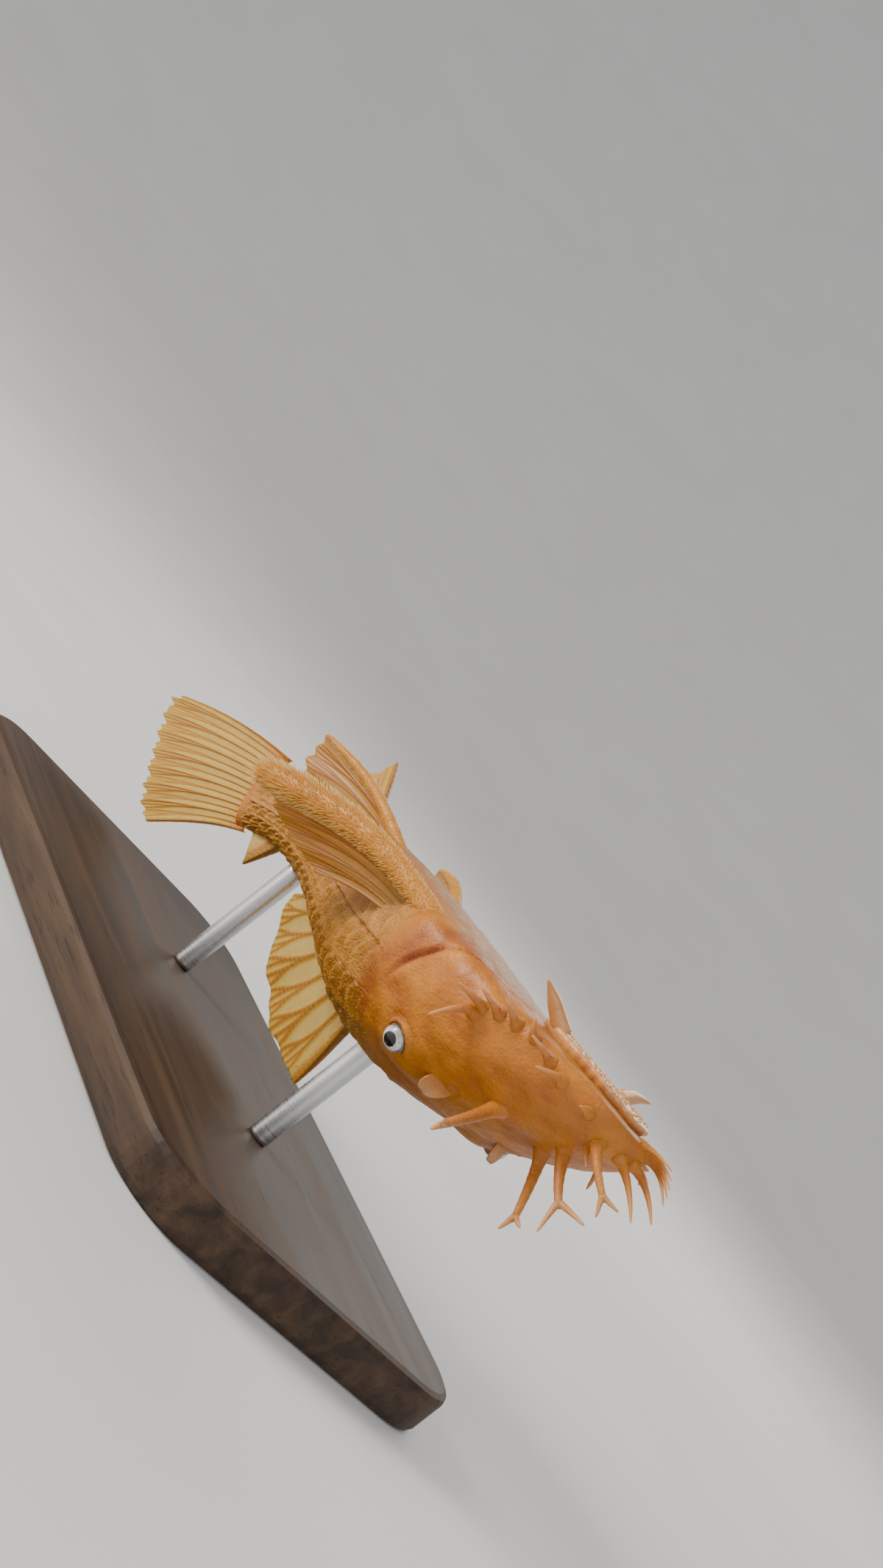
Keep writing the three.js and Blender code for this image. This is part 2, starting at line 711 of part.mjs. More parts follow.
const flesh = new THREE.MeshStandardMaterial({ color: 0xd98a32, roughness: 0.5, metalness: 0 });
const finFlesh = new THREE.MeshStandardMaterial({ color: 0xd8ae42, roughness: 0.45, metalness: 0 });
const eyeBall = new THREE.MeshStandardMaterial({ color: 0x1a1614, roughness: 0.1, metalness: 0 });
const darkWood = new THREE.MeshStandardMaterial({ color: 0x3a2c24, roughness: 0.55, metalness: 0 });
const steel = new THREE.MeshStandardMaterial({ color: 0xb8babc, roughness: 0.3, metalness: 1 });

const fish = new THREE.Group();
addNode(fish, "head", head(), flesh);
addNode(fish, "mouth_disc", mouthDisc(), flesh);
addNode(fish, "trunk", bodyLength(trunkStations, TRUNK_ANGLES), flesh);
addNode(fish, "tail_stalk", bodyLength(stalkStations, TRUNK_ANGLES), flesh);
addNode(fish, "dorsal_fin", dorsalFin(), finFlesh);
addNode(fish, "adipose_fin", adiposeFin(), finFlesh);
addNode(fish, "tail_fin", tailFin(), finFlesh);
addNode(fish, "anal_fin", analFin(), finFlesh);
for (const [side, word] of [
  [1, "left"],
  [-1, "right"],
]) {
  addNode(fish, `pectoral_fin_${word}`, pectoralFin(side), finFlesh);
  addNode(fish, `pelvic_fin_${word}`, pelvicFin(side), finFlesh);
  addNode(fish, `eye_${word}`, ball(eyeCentre(side), EYE.radius, 16, 10), eyeBall);
}

// The fish turned belly up, its whole length centred over the base and its lowest fin tip just clear of it
fish.rotation.x = Math.PI;
const fishBox = new THREE.Box3().setFromObject(fish, true);
const fishHeight = BASE.thick + CLEARANCE - fishBox.min.z;
fish.position.set(-(fishBox.min.x + fishBox.max.x) / 2, 0, fishHeight);

function standBase() {
  const outline = new THREE.Shape();
  const [x, y, r] = [BASE.length / 2 - BASE.bevel, BASE.width / 2 - BASE.bevel, BASE.corner];
  outline.moveTo(-x + r, -y);
  outline.lineTo(x - r, -y).absarc(x - r, -y + r, r, -Math.PI / 2, 0);
  outline.lineTo(x, y - r).absarc(x - r, y - r, r, 0, Math.PI / 2);
  outline.lineTo(-x + r, y).absarc(-x + r, y - r, r, Math.PI / 2, Math.PI);
  outline.lineTo(-x, -y + r).absarc(-x + r, -y + r, r, Math.PI, 1.5 * Math.PI);
  const slab = new THREE.ExtrudeGeometry(outline, {
    depth: BASE.thick - 2 * BASE.bevel,
    bevelThickness: BASE.bevel,
    bevelSize: BASE.bevel,
    bevelSegments: 2,
    curveSegments: 5,
  });
  return solidOfGeometry(slab.translate(0, 0, BASE.bevel));
}

// A rod under one station of the back, cut to the plates it carries
function standRod(station) {
  const back = beside(station, 0, readTable(SECTIONS, station)[1] - 1.5);
  const foot = fishHeight - BASE.thick - GAP;
  const rod = new THREE.CylinderGeometry(ROD_RADIUS, ROD_RADIUS, foot - back.z, 20)
    .rotateX(Math.PI / 2)
    .translate(back.x, back.y, (foot + back.z) / 2);
  return solidOfGeometry(rod).subtract(grownBody);
}

const part = new THREE.Group();
part.add(fish);
addNode(part, "stand_base", standBase(), darkWood);
for (const [word, station] of [
  ["front", 38.5],
  ["rear", 80.5],
]) {
  const rod = addNode(part, `stand_rod_${word}`, standRod(station), steel);
  rod.rotation.copy(fish.rotation);
  rod.position.copy(fish.position);
}

export default part;
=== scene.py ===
"""A life-size golden bristlenose pleco, an adult male, hanging belly up over a plain display stand.

The fish is drawn in its own frame in millimetres, with the snout at the origin, +X forwards, +Y to its
left and +Z to its back, and is then turned belly up into the model's frame in metres.
"""

from __future__ import annotations

import json
import logging
import math
from dataclasses import dataclass, field
from enum import Enum, IntEnum

import bpy
import numpy as np
from mathutils import Matrix, Vector, noise

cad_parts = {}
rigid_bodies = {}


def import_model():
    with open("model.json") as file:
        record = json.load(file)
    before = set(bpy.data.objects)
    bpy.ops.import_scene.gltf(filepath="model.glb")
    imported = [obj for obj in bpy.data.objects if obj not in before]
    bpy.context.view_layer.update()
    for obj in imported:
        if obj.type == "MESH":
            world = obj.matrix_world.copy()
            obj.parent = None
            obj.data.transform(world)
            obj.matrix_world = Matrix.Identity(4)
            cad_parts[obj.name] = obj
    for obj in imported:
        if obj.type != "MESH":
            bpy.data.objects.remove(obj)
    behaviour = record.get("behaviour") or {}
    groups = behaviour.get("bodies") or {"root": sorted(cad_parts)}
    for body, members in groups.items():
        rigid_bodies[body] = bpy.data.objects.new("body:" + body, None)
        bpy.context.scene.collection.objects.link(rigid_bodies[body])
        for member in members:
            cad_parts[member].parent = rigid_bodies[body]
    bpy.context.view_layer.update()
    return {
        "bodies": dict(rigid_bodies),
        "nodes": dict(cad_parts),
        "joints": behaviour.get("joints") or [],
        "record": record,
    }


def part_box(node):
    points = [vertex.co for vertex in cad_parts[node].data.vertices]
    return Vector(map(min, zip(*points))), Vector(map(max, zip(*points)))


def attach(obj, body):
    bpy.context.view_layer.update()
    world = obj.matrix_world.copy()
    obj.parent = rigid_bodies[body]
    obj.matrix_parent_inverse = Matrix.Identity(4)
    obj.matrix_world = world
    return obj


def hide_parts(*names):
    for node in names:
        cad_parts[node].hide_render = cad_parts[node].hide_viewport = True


log = logging.getLogger("pleco")

MM = 0.001
BODY = "root"
HALF_TURN = 180.0

# A colour Mix node's inputs for its share and its two colours, and its output
MIX_INPUTS = (0, 6, 7)
MIX_OUTPUT = 2

# A direction that no tube runs along, to turn its rings from
TUBE_SIDE = (0.31, 0.22, 0.93)

Values = np.ndarray | float
Stored = dict[str, np.ndarray]
Table = tuple[tuple[float, ...], ...]
Colour = tuple[float, float, float]
Place = tuple[float, float, float]
Socket = bpy.types.NodeSocket
Material = bpy.types.Material
Piece = bpy.types.Object


class Side(IntEnum):
    """A side of the fish. Its value is the sign of distances to the left."""

    LEFT = 1
    RIGHT = -1

    @property
    def word(self) -> str:
        """The side's word in the names of nodes and pieces."""
        return self.name.lower()

    def angle(self, left: float) -> float:
        """Returns a section angle given for the left, mirrored where this side is the right."""
        return left if self is Side.LEFT else HALF_TURN - left


def read_table(table: Table, at: Values) -> np.ndarray:
    """Reads a table smoothly between its rows.

    Args:
        table: Rows whose first column rises.
        at: Places along the first column.

    Returns:
        One row of the other columns for each place.
    """
    grid = np.asarray(table, float)
    x, y = grid[:, 0], grid[:, 1:]
    at = np.atleast_1d(np.asarray(at, float))
    last = len(x) - 1
    before = np.maximum(np.arange(last + 1) - 1, 0)
    after = np.minimum(np.arange(last + 1) + 1, last)
    slope = (y[after] - y[before]) / (x[after] - x[before])[:, None]
    row = np.clip(np.searchsorted(x, at, side="left") - 1, 0, last - 1)
    width = (x[row + 1] - x[row])[..., None]
    t = np.clip((at - x[row])[..., None] / width, 0, 1)
    eased = t * t * (3 - 2 * t)
    leave = slope[row] * width * t * (1 - t) ** 2
    arrive = slope[row + 1] * width * t * t * (1 - t)
    return y[row] + (y[row + 1] - y[row]) * eased + leave - arrive


def bump(distance: np.ndarray, width: float) -> np.ndarray:
    """Returns a smooth rise of height 1 at distance 0 that dies away over the width."""
    return np.exp(-((distance / width) ** 2))


def ease(low: float, high: float, value: np.ndarray) -> np.ndarray:
    """Returns a smooth step from 0 at low to 1 at high."""
    t = np.clip((value - low) / (high - low), 0, 1)
    return t * t * (3 - 2 * t)


def unit(vectors: np.ndarray) -> np.ndarray:
    """Returns the vectors at length 1."""
    return vectors / np.maximum(np.linalg.norm(vectors, axis=-1, keepdims=True), 1e-12)


def signed_side(angle: np.ndarray) -> np.ndarray:
    """Folds section angles onto one side.

    Args:
        angle: Angles in degrees, all the way round.

    Returns:
        Angles from -90 at the belly to 90 at the back.
    """
    angle = np.mod(angle, 360)
    folded = np.where((angle > 90) & (angle < 270), 180 - angle, angle)
    return np.where(folded >= 270, folded - 360, folded)


@dataclass(frozen=True)
class BodyPlan:
    """The proportions of the fish, in shares of its standard length, and its place over the stand."""

    standard_length: float = 92.0
    shield_end: float = 34.0
    tail_root: float = 100.0
    skin_end: float = 101.4
    spine_height: float = 7.0
    back_roundness: float = 2.3
    belly_roundness: float = 3.0
    shift: float = 0.0
    height: float = 0.0
    bends: tuple[tuple[float, float, float, float], ...] = (
        (66, 0.074, -0.205, 0.0),
        (106, -0.163, -0.242, -0.369),
    )
    sections: Table = (
        (0.0, 0.0, 0.8, 0.0, 0.4),
        (0.6, 4.2, 2.5, -0.7, 0.4),
        (2.0, 6.6, 3.9, -1.0, 0.5),
        (4.5, 9.0, 5.8, -1.1, 0.9),
        (9.0, 11.9, 8.9, -0.8, 1.9),
        (15.0, 14.6, 12.6, -0.4, 3.0),
        (22.0, 16.0, 16.0, -0.1, 4.0),
        (30.0, 16.6, 18.6, 0.0, 4.5),
        (36.0, 16.2, 19.8, 0.0, 4.5),
        (45.0, 14.6, 20.4, 0.0, 5.0),
        (55.0, 12.4, 18.6, 0.0, 5.5),
        (65.0, 9.8, 16.0, 0.2, 5.8),
        (75.0, 7.0, 13.6, 0.8, 6.0),
        (85.0, 4.6, 12.0, 1.6, 6.4),
        (95.0, 2.8, 11.8, 1.4, 6.6),
        (103.0, 1.5, 13.2, 0.2, 6.6),
    )
    eye_station: float = 23.4
    eye_angle: float = 47.0
    eye_depth: float = 0.4
    eye_radius: float = 1.65
    eye_forwards: float = 0.42
    eye_downwards: float = -0.16

    @property
    def share(self) -> float:
        """One hundredth of the standard length, in mm."""
        return self.standard_length / 100

    def spine(self, station: Values) -> tuple[np.ndarray, np.ndarray, np.ndarray, np.ndarray]:
        """Finds the spine's place and directions at stations along the fish.

        Args:
            station: Distances from the snout, in % of the standard length.

        Returns:
            The places, and the unit vectors backwards, leftwards and upwards.
        """
        station = np.asarray(station, float)
        frame = np.array([[-1.0, 0, 0], [0, 1, 0], [0, 0, 1]])
        here = np.array([-self.shield_end * self.share, 0, 0])
        steps = []
        for mark in range(int(self.shield_end), int(self.bends[1][0]) + 1):
            steps.append(np.vstack([here, frame]))
            _, yaw, pitch, twist = self.bends[0] if mark < self.bends[0][0] else self.bends[1]
            turn = frame[2] * yaw - frame[1] * pitch + frame[0] * twist
            size = np.linalg.norm(turn)
            spin = np.array(Matrix.Rotation(math.radians(size), 3, Vector(turn / size)))
            frame = frame @ spin.T
            here = here + frame[0] * self.share
        table = np.array(steps)
        place = np.clip(station - self.shield_end, 0, len(table) - 1.001)
        low = np.floor(place).astype(int)
        part = (place - low)[..., None, None]
        found = table[low] * (1 - part) + table[low + 1] * part
        ahead = np.minimum(station - self.shield_end, 0)[..., None] * np.array([-self.share, 0, 0])
        backwards, leftwards, upwards = (unit(found[..., i, :]) for i in (1, 2, 3))
        return found[..., 0, :] + ahead, backwards, leftwards, upwards

    def beside(self, station: Values, left: Values, up: Values) -> np.ndarray:
        """Places points beside the spine.

        Args:
            station: Distances from the snout, in %.
            left: Distances to the left of the spine, in %.
            up: Heights above the belly plane, in %.

        Returns:
            Points in the fish's frame, in mm.
        """
        at, _, leftwards, upwards = self.spine(station)
        left = np.asarray(left, float)[..., None] * self.share
        up = (np.asarray(up, float)[..., None] - self.spine_height) * self.share
        return at + np.array([0, 0, self.spine_height * self.share]) + leftwards * left + upwards * up

    def towards(self, station: float, back: float, left: float, up: float) -> np.ndarray:
        """Returns a unit direction from its shares backwards, leftwards and upwards at a station."""
        _, backwards, leftwards, upwards = self.spine(station)
        return unit(backwards * back + leftwards * left + upwards * up)

    def half_heights(self, station: Values) -> np.ndarray:
        """Returns the half width, back height, belly height and widest height at each station, in %."""
        return read_table(self.sections, station)

    def skin(self, station: np.ndarray, angle: np.ndarray, rise: Values = 0.0) -> np.ndarray:
        """Places points on the body's surface.

        Args:
            station: Distances from the snout, in %, of any shape.
            angle: Section angles in degrees: 0 left, 90 back, 180 right, 270 belly.
            rise: Distances out from the plain section, in mm.

        Returns:
            Points in the fish's frame, in mm.
        """
        station, angle, rise = np.broadcast_arrays(
            np.asarray(station, float), np.asarray(angle, float), np.asarray(rise, float)
        )
        rows = self.half_heights(station.ravel()).reshape(station.shape + (4,))
        half, back, belly, widest = (rows[..., i] for i in range(4))
        cosine, sine = np.cos(np.radians(angle)), np.sin(np.radians(angle))
        power = 2 / np.where(sine > 0, self.back_roundness, self.belly_roundness)
        left = half * np.sign(cosine) * np.abs(cosine) ** power
        reach = np.where(sine > 0, back - widest, widest - belly)
        over = reach * np.sign(sine) * np.abs(sine) ** power
        out_left = left / np.maximum(half, 0.1) ** 2
        out_up = over / np.maximum(reach, 0.1) ** 2
        slant = np.maximum(np.hypot(out_left, out_up), 1e-9)
        lift = rise / self.share
        return self.beside(station, left + out_left / slant * lift, widest + over + out_up / slant * lift)

    def broad_shape(self, station: Values, angle: Values) -> np.ndarray:
        """Gives the broad shape of the head over its plain section.

        Args:
            station: Distances from the snout, in %.
            angle: Section angles in degrees.

        Returns:
            Distances outwards, in mm.
        """
        station = np.asarray(station, float)
        side = signed_side(np.asarray(angle, float))
        orbit = 1.15 * bump(station - self.eye_station, 4.2) * bump(side - self.eye_angle - 5, 17)
        brow = 0.5 * bump(station - self.eye_station + 1, 3.5) * bump(side - self.eye_angle - 17, 8)
        cheek = 0.8 * bump(station - 21.5, 4) * bump(side + 4, 26)
        shoulder = 0.7 * bump(station - 30.5, 3) * bump(side - 2, 24)
        crown = 0.5 * bump(station - 32, 5) * bump(side - 90, 24)
        return (orbit + brow + cheek + shoulder + crown) * np.clip(station / 3, 0, 1)

    def surface(self, station: Values, angle: Values) -> np.ndarray:
        """Places points on the skin with the head's broad shape, in mm."""
        return self.skin(station, angle, self.broad_shape(station, angle))

    def eye_axis(self, side: Side) -> tuple[np.ndarray, np.ndarray]:
        """Finds an eye.

        Args:
            side: The side that it is on.

        Returns:
            The eyeball's centre and the unit direction that it looks in.
        """
        surface = self.surface(self.eye_station, side.angle(self.eye_angle))
        out = unit(surface - self.beside(self.eye_station, 0, 5))
        gaze = unit(out + np.array([self.eye_forwards, 0, self.eye_downwards]))
        return surface - out * self.eye_depth, gaze

    def world(self, points: np.ndarray) -> np.ndarray:
        """Turns points from the fish's frame, in mm, belly up into the model's frame, in metres."""
        turned = points * np.array([1, -1, -1]) + np.array([self.shift, 0, self.height])
        return turned * MM

    def world_way(self, ways: np.ndarray) -> np.ndarray:
        """Turns directions from the fish's frame into the model's frame."""
        return self.world(ways) - self.world(np.zeros(3))


class Graph:
    """A material's node tree, built a node at a time."""

    def __init__(self, name: str) -> None:
        """Makes an empty material with an output node.

        Args:
            name: The material's name.
        """
        self.material = bpy.data.materials.new(name)
        self.material.use_nodes = True
        self.tree = self.material.node_tree
        self.tree.nodes.clear()
        self.output = self.tree.nodes.new("ShaderNodeOutputMaterial")

    def node(
        self, kind: str, inputs: dict[str | int, object] | None = None, **settings: object
    ) -> bpy.types.Node:
        """Adds a node.

        Args:
            kind: The node's type, without the ShaderNode prefix.
            inputs: A value or a socket for each input, by name or number.
            settings: The node's own properties.

        Returns:
            The node.
        """
        made = self.tree.nodes.new("ShaderNode" + kind)
        for name, value in settings.items():
            setattr(made, name, value)
        for name, value in (inputs or {}).items():
            if isinstance(value, Socket):
                self.tree.links.new(value, made.inputs[name])
            else:
                made.inputs[name].default_value = value
        return made

    def place(self) -> Socket:
        """Returns the object coordinates."""
        return self.node("TexCoord").outputs["Object"]

    def attribute(self, name: str) -> Socket:
        """Returns a number stored on the mesh."""
        return self.node("Attribute", attribute_name=name).outputs["Fac"]

    def grain(self, scale: float, detail: float = 3.0, rough: float = 0.55) -> Socket:
        """Returns a soft noise with so many grains to the metre."""
        inputs = {"Vector": self.place(), "Scale": scale, "Detail": detail, "Roughness": rough}
        return self.node("TexNoise", inputs).outputs["Fac"]

    def cells(self, scale: float) -> Socket:
        """Returns the distance pattern of packed cells, so many to the metre."""
        inputs = {"Vector": self.place(), "Scale": scale}
        return self.node("TexVoronoi", inputs).outputs["Distance"]

    def ramp(self, value: Socket, *stops: tuple[float, Colour]) -> Socket:
        """Colours a value.

        Args:
            value: The value, from 0 to 1.
            stops: Places along it, each with a colour.

        Returns:
            The colour between the stops.
        """
        made = self.node("ValToRGB", {"Fac": value})
        band = made.color_ramp
        while len(band.elements) < len(stops):
            band.elements.new(0.5)
        for element, (at, colour) in zip(band.elements, stops):
            element.position = at
            element.color = (*colour, 1.0)
        return made.outputs["Color"]

    def spread(
        self, value: Socket, low: float, high: float, to_low: float = 0.0, to_high: float = 1.0
    ) -> Socket:
        """Returns the value moved from one range to another and held inside it."""
        inputs = {"Value": value, "From Min": low, "From Max": high, "To Min": to_low, "To Max": to_high}
        return self.node("MapRange", inputs).outputs["Result"]

    def tint(self, share: object, first: object, second: object) -> Socket:
        """Mixes two colours.

        Args:
            share: The second colour's share, as a socket or a number.
            first: A colour or a socket.
            second: A colour or a socket.

        Returns:
            The mixed colour.
        """
        made = self.node("Mix", data_type="RGBA")
        for socket, value in zip(MIX_INPUTS, (share, first, second)):
            self.fill(made.inputs[socket], value)
        return made.outputs[MIX_OUTPUT]

    def fill(self, socket: Socket, value: object) -> None:
        """Links a socket or sets its value.

        Args:
            socket: The socket to fill.
            value: Another socket, a number, or a colour with or without its alpha.
        """
        if isinstance(value, Socket):
            self.tree.links.new(value, socket)
        elif isinstance(value, tuple):
            socket.default_value = (*value, 1.0)[: len(socket.default_value)]
        else:
            socket.default_value = value

    def maths(self, operation: str, first: object, second: object = 0.0) -> Socket:
        """Works out one operation on two numbers.

        Args:
            operation: The Math node's operation.
            first: A number or a socket.
            second: A number or a socket.

        Returns:
            The result.
        """
        made = self.node("Math", operation=operation)
        for socket, value in zip(made.inputs, (first, second)):
            self.fill(socket, value)
        return made.outputs["Value"]

    def relief(self, *layers: tuple[Socket, float]) -> Socket:
        """Raises layers of bumps on the surface.

        Args:
            layers: A pattern for each layer, with its height in mm.

        Returns:
            The bumped normal.
        """
        normal = None
        for height, rise in layers:
            inputs = {"Height": height, "Strength": 1.0, "Distance": rise * MM}
            if normal is not None:
                inputs["Normal"] = normal
            normal = self.node("Bump", inputs).outputs["Normal"]
        return normal

    def finish(self, **inputs: object) -> Material:
        """Ends the tree in one principled shader.

        Args:
            inputs: A value or a socket for each input, spaces in its name given as underscores.

        Returns:
            The material.
        """
        shader = self.node("BsdfPrincipled")
        for name, value in inputs.items():
            self.fill(shader.inputs[name.replace("_", " ")], value)
        self.tree.links.new(shader.outputs["BSDF"], self.output.inputs["Surface"])
        return self.material


@dataclass(frozen=True)
class LivingSkin:
    """Moist golden skin, paler on the rims of its plates, redder in its gill slit, with painted shade in its
    folds and on its belly side.
    """

    name: str = "golden_skin"
    gold: Colour = (0.52, 0.18, 0.013)
    amber: Colour = (0.39, 0.115, 0.008)
    ochre: Colour = (0.36, 0.14, 0.009)
    # The gill slit's own red, also laid on as painted shade in the folds
    russet: Colour = (0.22, 0.036, 0.007)
    umber: Colour = (0.2, 0.06, 0.012)
    straw: Colour = (0.56, 0.27, 0.035)
    # Painted shade: the belly side is darkened towards this colour
    belly: Colour = (0.36, 0.14, 0.014)
    frost: Colour = (0.62, 0.36, 0.17)
    ridges: float = 4.0

    def material(self) -> Material:
        """Builds the finish.

        Returns:
            The material.
        """
        g = Graph(self.name)
        patches = g.spread(g.grain(170, 4), 0.38, 0.66)
        colour = g.tint(patches, self.gold, self.amber)
        armour = g.attribute("armour")
        colour = g.tint(g.maths("MULTIPLY", armour, 0.8), colour, self.ochre)
        serrated = g.maths("ADD", g.attribute("column"), g.spread(g.grain(1300, 2), 0.3, 0.7, -0.1, 0.1))
        ridges = g.maths("MULTIPLY", g.maths("FRACT", g.maths("MULTIPLY", serrated, self.ridges)), armour)
        colour = g.tint(g.maths("MULTIPLY", ridges, 0.4), colour, self.straw)
        # Painted shade: the skin darkens towards its belly side
        colour = g.tint(g.attribute("belly"), colour, self.belly)
        rims = g.maths("MULTIPLY", g.attribute("rim"), g.spread(g.grain(1500, 2), 0.3, 0.6, 0.45, 1.0))
        colour = g.tint(g.maths("MULTIPLY", rims, 0.5), colour, self.straw)
        colour = g.tint(g.maths("MULTIPLY", g.attribute("seam"), 0.62), colour, self.umber)
        speckle = g.spread(g.grain(2600, 3), 0.6, 0.72, 0.0, 0.22)
        colour = g.tint(speckle, colour, self.straw)
        # Russet in the folds: the gill slit's own red, with painted shade in the slit, round the eye lids,
        # at the shoulder and in dents of the skin
        colour = g.tint(g.attribute("fold"), colour, self.russet)
        colour = g.tint(g.attribute("tip"), colour, self.frost)
        rough = g.spread(g.grain(900, 3), 0.3, 0.7, 0.42, 0.6)
        pores = g.spread(g.cells(2300), 0.0, 0.6)
        normal = g.relief((ridges, 0.12), (g.grain(420, 4), 0.16), (pores, 0.05), (g.grain(5200, 2), 0.022))
        return g.finish(
            Base_Color=colour,
            Roughness=rough,
            Normal=normal,
            Subsurface_Weight=0.22,
            Subsurface_Radius=(1.0, 0.42, 0.16),
            Subsurface_Scale=1.1 * MM,
            Specular_IOR_Level=0.4,
            Coat_Weight=0.08,
            Coat_Roughness=0.25,
        )


@dataclass(frozen=True)
class FinWeb:
    """Thin clear yellow web between opaque amber rays."""

    name: str = "fin_web"
    web: Colour = (0.6, 0.37, 0.055)
    olive: Colour = (0.44, 0.27, 0.04)
    ray: Colour = (0.3, 0.125, 0.014)
    root: Colour = (0.5, 0.17, 0.018)
    clear: float = 0.72

    def material(self) -> Material:
        """Builds the finish.

        Returns:
            The material.
        """
        g = Graph(self.name)
        ray = g.attribute("ray")
        mottle = g.spread(g.grain(600, 3), 0.35, 0.7, 0.0, 0.5)
        web = g.tint(mottle, self.web, self.olive)
        colour = g.tint(g.spread(ray, 0.15, 0.75, 0.0, 0.85), web, self.ray)
        colour = g.tint(g.attribute("root"), colour, self.root)
        solid = g.maths("MAXIMUM", g.spread(ray, 0.0, 0.55, self.clear, 1.0), g.attribute("root"))
        joints = g.maths("MULTIPLY", g.attribute("joint"), ray)
        normal = g.relief((g.grain(1800, 3), 0.04), (joints, 0.05))
        return g.finish(
            Base_Color=colour,
            Roughness=0.42,
            Normal=normal,
            Alpha=solid,
            Subsurface_Weight=0.55,
            Subsurface_Radius=(1.0, 0.6, 0.2),
            Subsurface_Scale=1.2 * MM,
            Specular_IOR_Level=0.35,
            Coat_Weight=0.08,
            Coat_Roughness=0.2,
        )


@dataclass(frozen=True)
class Bristle:
    """Tiny pale bony bristles with whitish tips."""

    name: str = "bristles"
    base: Colour = (0.62, 0.28, 0.022)
    tip: Colour = (0.86, 0.58, 0.2)
    rust: Colour = (0.5, 0.18, 0.03)

    def material(self) -> Material:
        """Builds the finish.

        Returns:
            The material.
        """
        g = Graph(self.name)
        along = g.spread(g.attribute("along"), 0.2, 0.95)
        colour = g.tint(along, self.base, self.tip)
        colour = g.tint(g.spread(g.grain(700, 2), 0.4, 0.65, 0.0, 0.4), colour, self.rust)
        return g.finish(
            Base_Color=colour,
            Roughness=0.4,
            Subsurface_Weight=0.3,
            Subsurface_Radius=(1.0, 0.6, 0.3),
            Subsurface_Scale=0.4 * MM,
        )


@dataclass(frozen=True)
class SpineBone:
    """Pale orange bone of the thick fin spines."""

    name: str = "spine_bone"
    pale: Colour = (0.6, 0.26, 0.026)
    warm: Colour = (0.5, 0.175, 0.012)

    def material(self) -> Material:
        """Builds the finish.

        Returns:
            The material.
        """
        g = Graph(self.name)
        colour = g.tint(g.spread(g.grain(900, 3), 0.35, 0.65), self.pale, self.warm)
        colour = g.tint(g.attribute("root"), colour, self.warm)
        normal = g.relief((g.cells(3200), 0.05), (g.grain(2600, 2), 0.03))
        return g.finish(
            Base_Color=colour,
            Roughness=0.45,
            Normal=normal,
            Subsurface_Weight=0.3,
            Subsurface_Radius=(1.0, 0.5, 0.2),
            Subsurface_Scale=0.8 * MM,
        )


@dataclass(frozen=True)
class LipFlesh:
    """Soft pale lips with a pinkish throat."""

    name: str = "lip_flesh"
    pale: Colour = (0.66, 0.33, 0.12)
    flush: Colour = (0.6, 0.24, 0.055)
    pink: Colour = (0.5, 0.17, 0.08)

    def material(self) -> Material:
        """Builds the finish.

        Returns:
            The material.
        """
        g = Graph(self.name)
        colour = g.tint(g.spread(g.grain(260, 4), 0.35, 0.7), self.pale, self.flush)
        colour = g.tint(g.attribute("throat"), colour, self.pink)
        normal = g.relief((g.grain(700, 4), 0.1), (g.grain(3600, 2), 0.03))
        return g.finish(
            Base_Color=colour,
            Roughness=0.4,
            Normal=normal,
            Subsurface_Weight=0.35,
            Subsurface_Radius=(1.0, 0.4, 0.25),
            Subsurface_Scale=1.0 * MM,
            Coat_Weight=0.3,
            Coat_Roughness=0.2,
        )


@dataclass(frozen=True)
class WetEye:
    """A dark pupil under a grey flap, a silver iris and a slate rim, beneath a clear coat."""

    name: str = "wet_eye"
    pupil: float = 0.84
    iris: float = 1.36
    rim: float = 1.56
    black: Colour = (0.004, 0.003, 0.004)
    flap: Colour = (0.07, 0.06, 0.055)
    streaks: tuple[tuple[float, Colour], ...] = (
        (0.3, (0.42, 0.36, 0.33)),
        (0.52, (0.72, 0.68, 0.66)),
        (0.72, (0.9, 0.88, 0.88)),
    )
    # Painted shade on the lower part of the iris
    shade: Colour = (0.2, 0.18, 0.17)
    slate: Colour = (0.12, 0.1, 0.095)
    socket: Colour = (0.42, 0.17, 0.05)

    def material(self) -> Material:
        """Builds the finish.

        Returns:
            The material.
        """
        g = Graph(self.name)
        gaze = g.node("Attribute", attribute_name="gaze").outputs["Vector"]
        parts = g.node("SeparateXYZ", {"Vector": gaze}).outputs
        across, over = parts["X"], parts["Y"]
        radius = g.node("VectorMath", {0: gaze}, operation="LENGTH").outputs["Value"]
        wide = g.maths("MULTIPLY", across, 1.25)
        high = g.maths("SUBTRACT", over, 0.62)
        lobe = g.node("CombineXYZ", {"X": wide, "Y": high}).outputs["Vector"]
        reach = g.node("VectorMath", {0: lobe}, operation="LENGTH").outputs["Value"]
        streaks = g.node("TexNoise", {"Vector": gaze, "Scale": 3.2, "Detail": 5.0}).outputs["Fac"]
        # Painted shade: the iris darkens towards its lower side
        iris = g.tint(g.spread(over, -0.25, -1.1, 0.0, 0.75), g.ramp(streaks, *self.streaks), self.shade)
        pupil = g.tint(g.spread(reach, 0.26, 0.18), self.black, self.flap)
        colour = g.tint(g.spread(radius, self.pupil - 0.03, self.pupil + 0.03), pupil, iris)
        colour = g.tint(g.spread(radius, self.iris - 0.05, self.iris + 0.07), colour, self.slate)
        colour = g.tint(g.spread(radius, self.rim, self.rim + 0.12), colour, self.socket)
        return g.finish(Base_Color=colour, Roughness=0.3, Coat_Weight=0.5, Coat_Roughness=0.03)


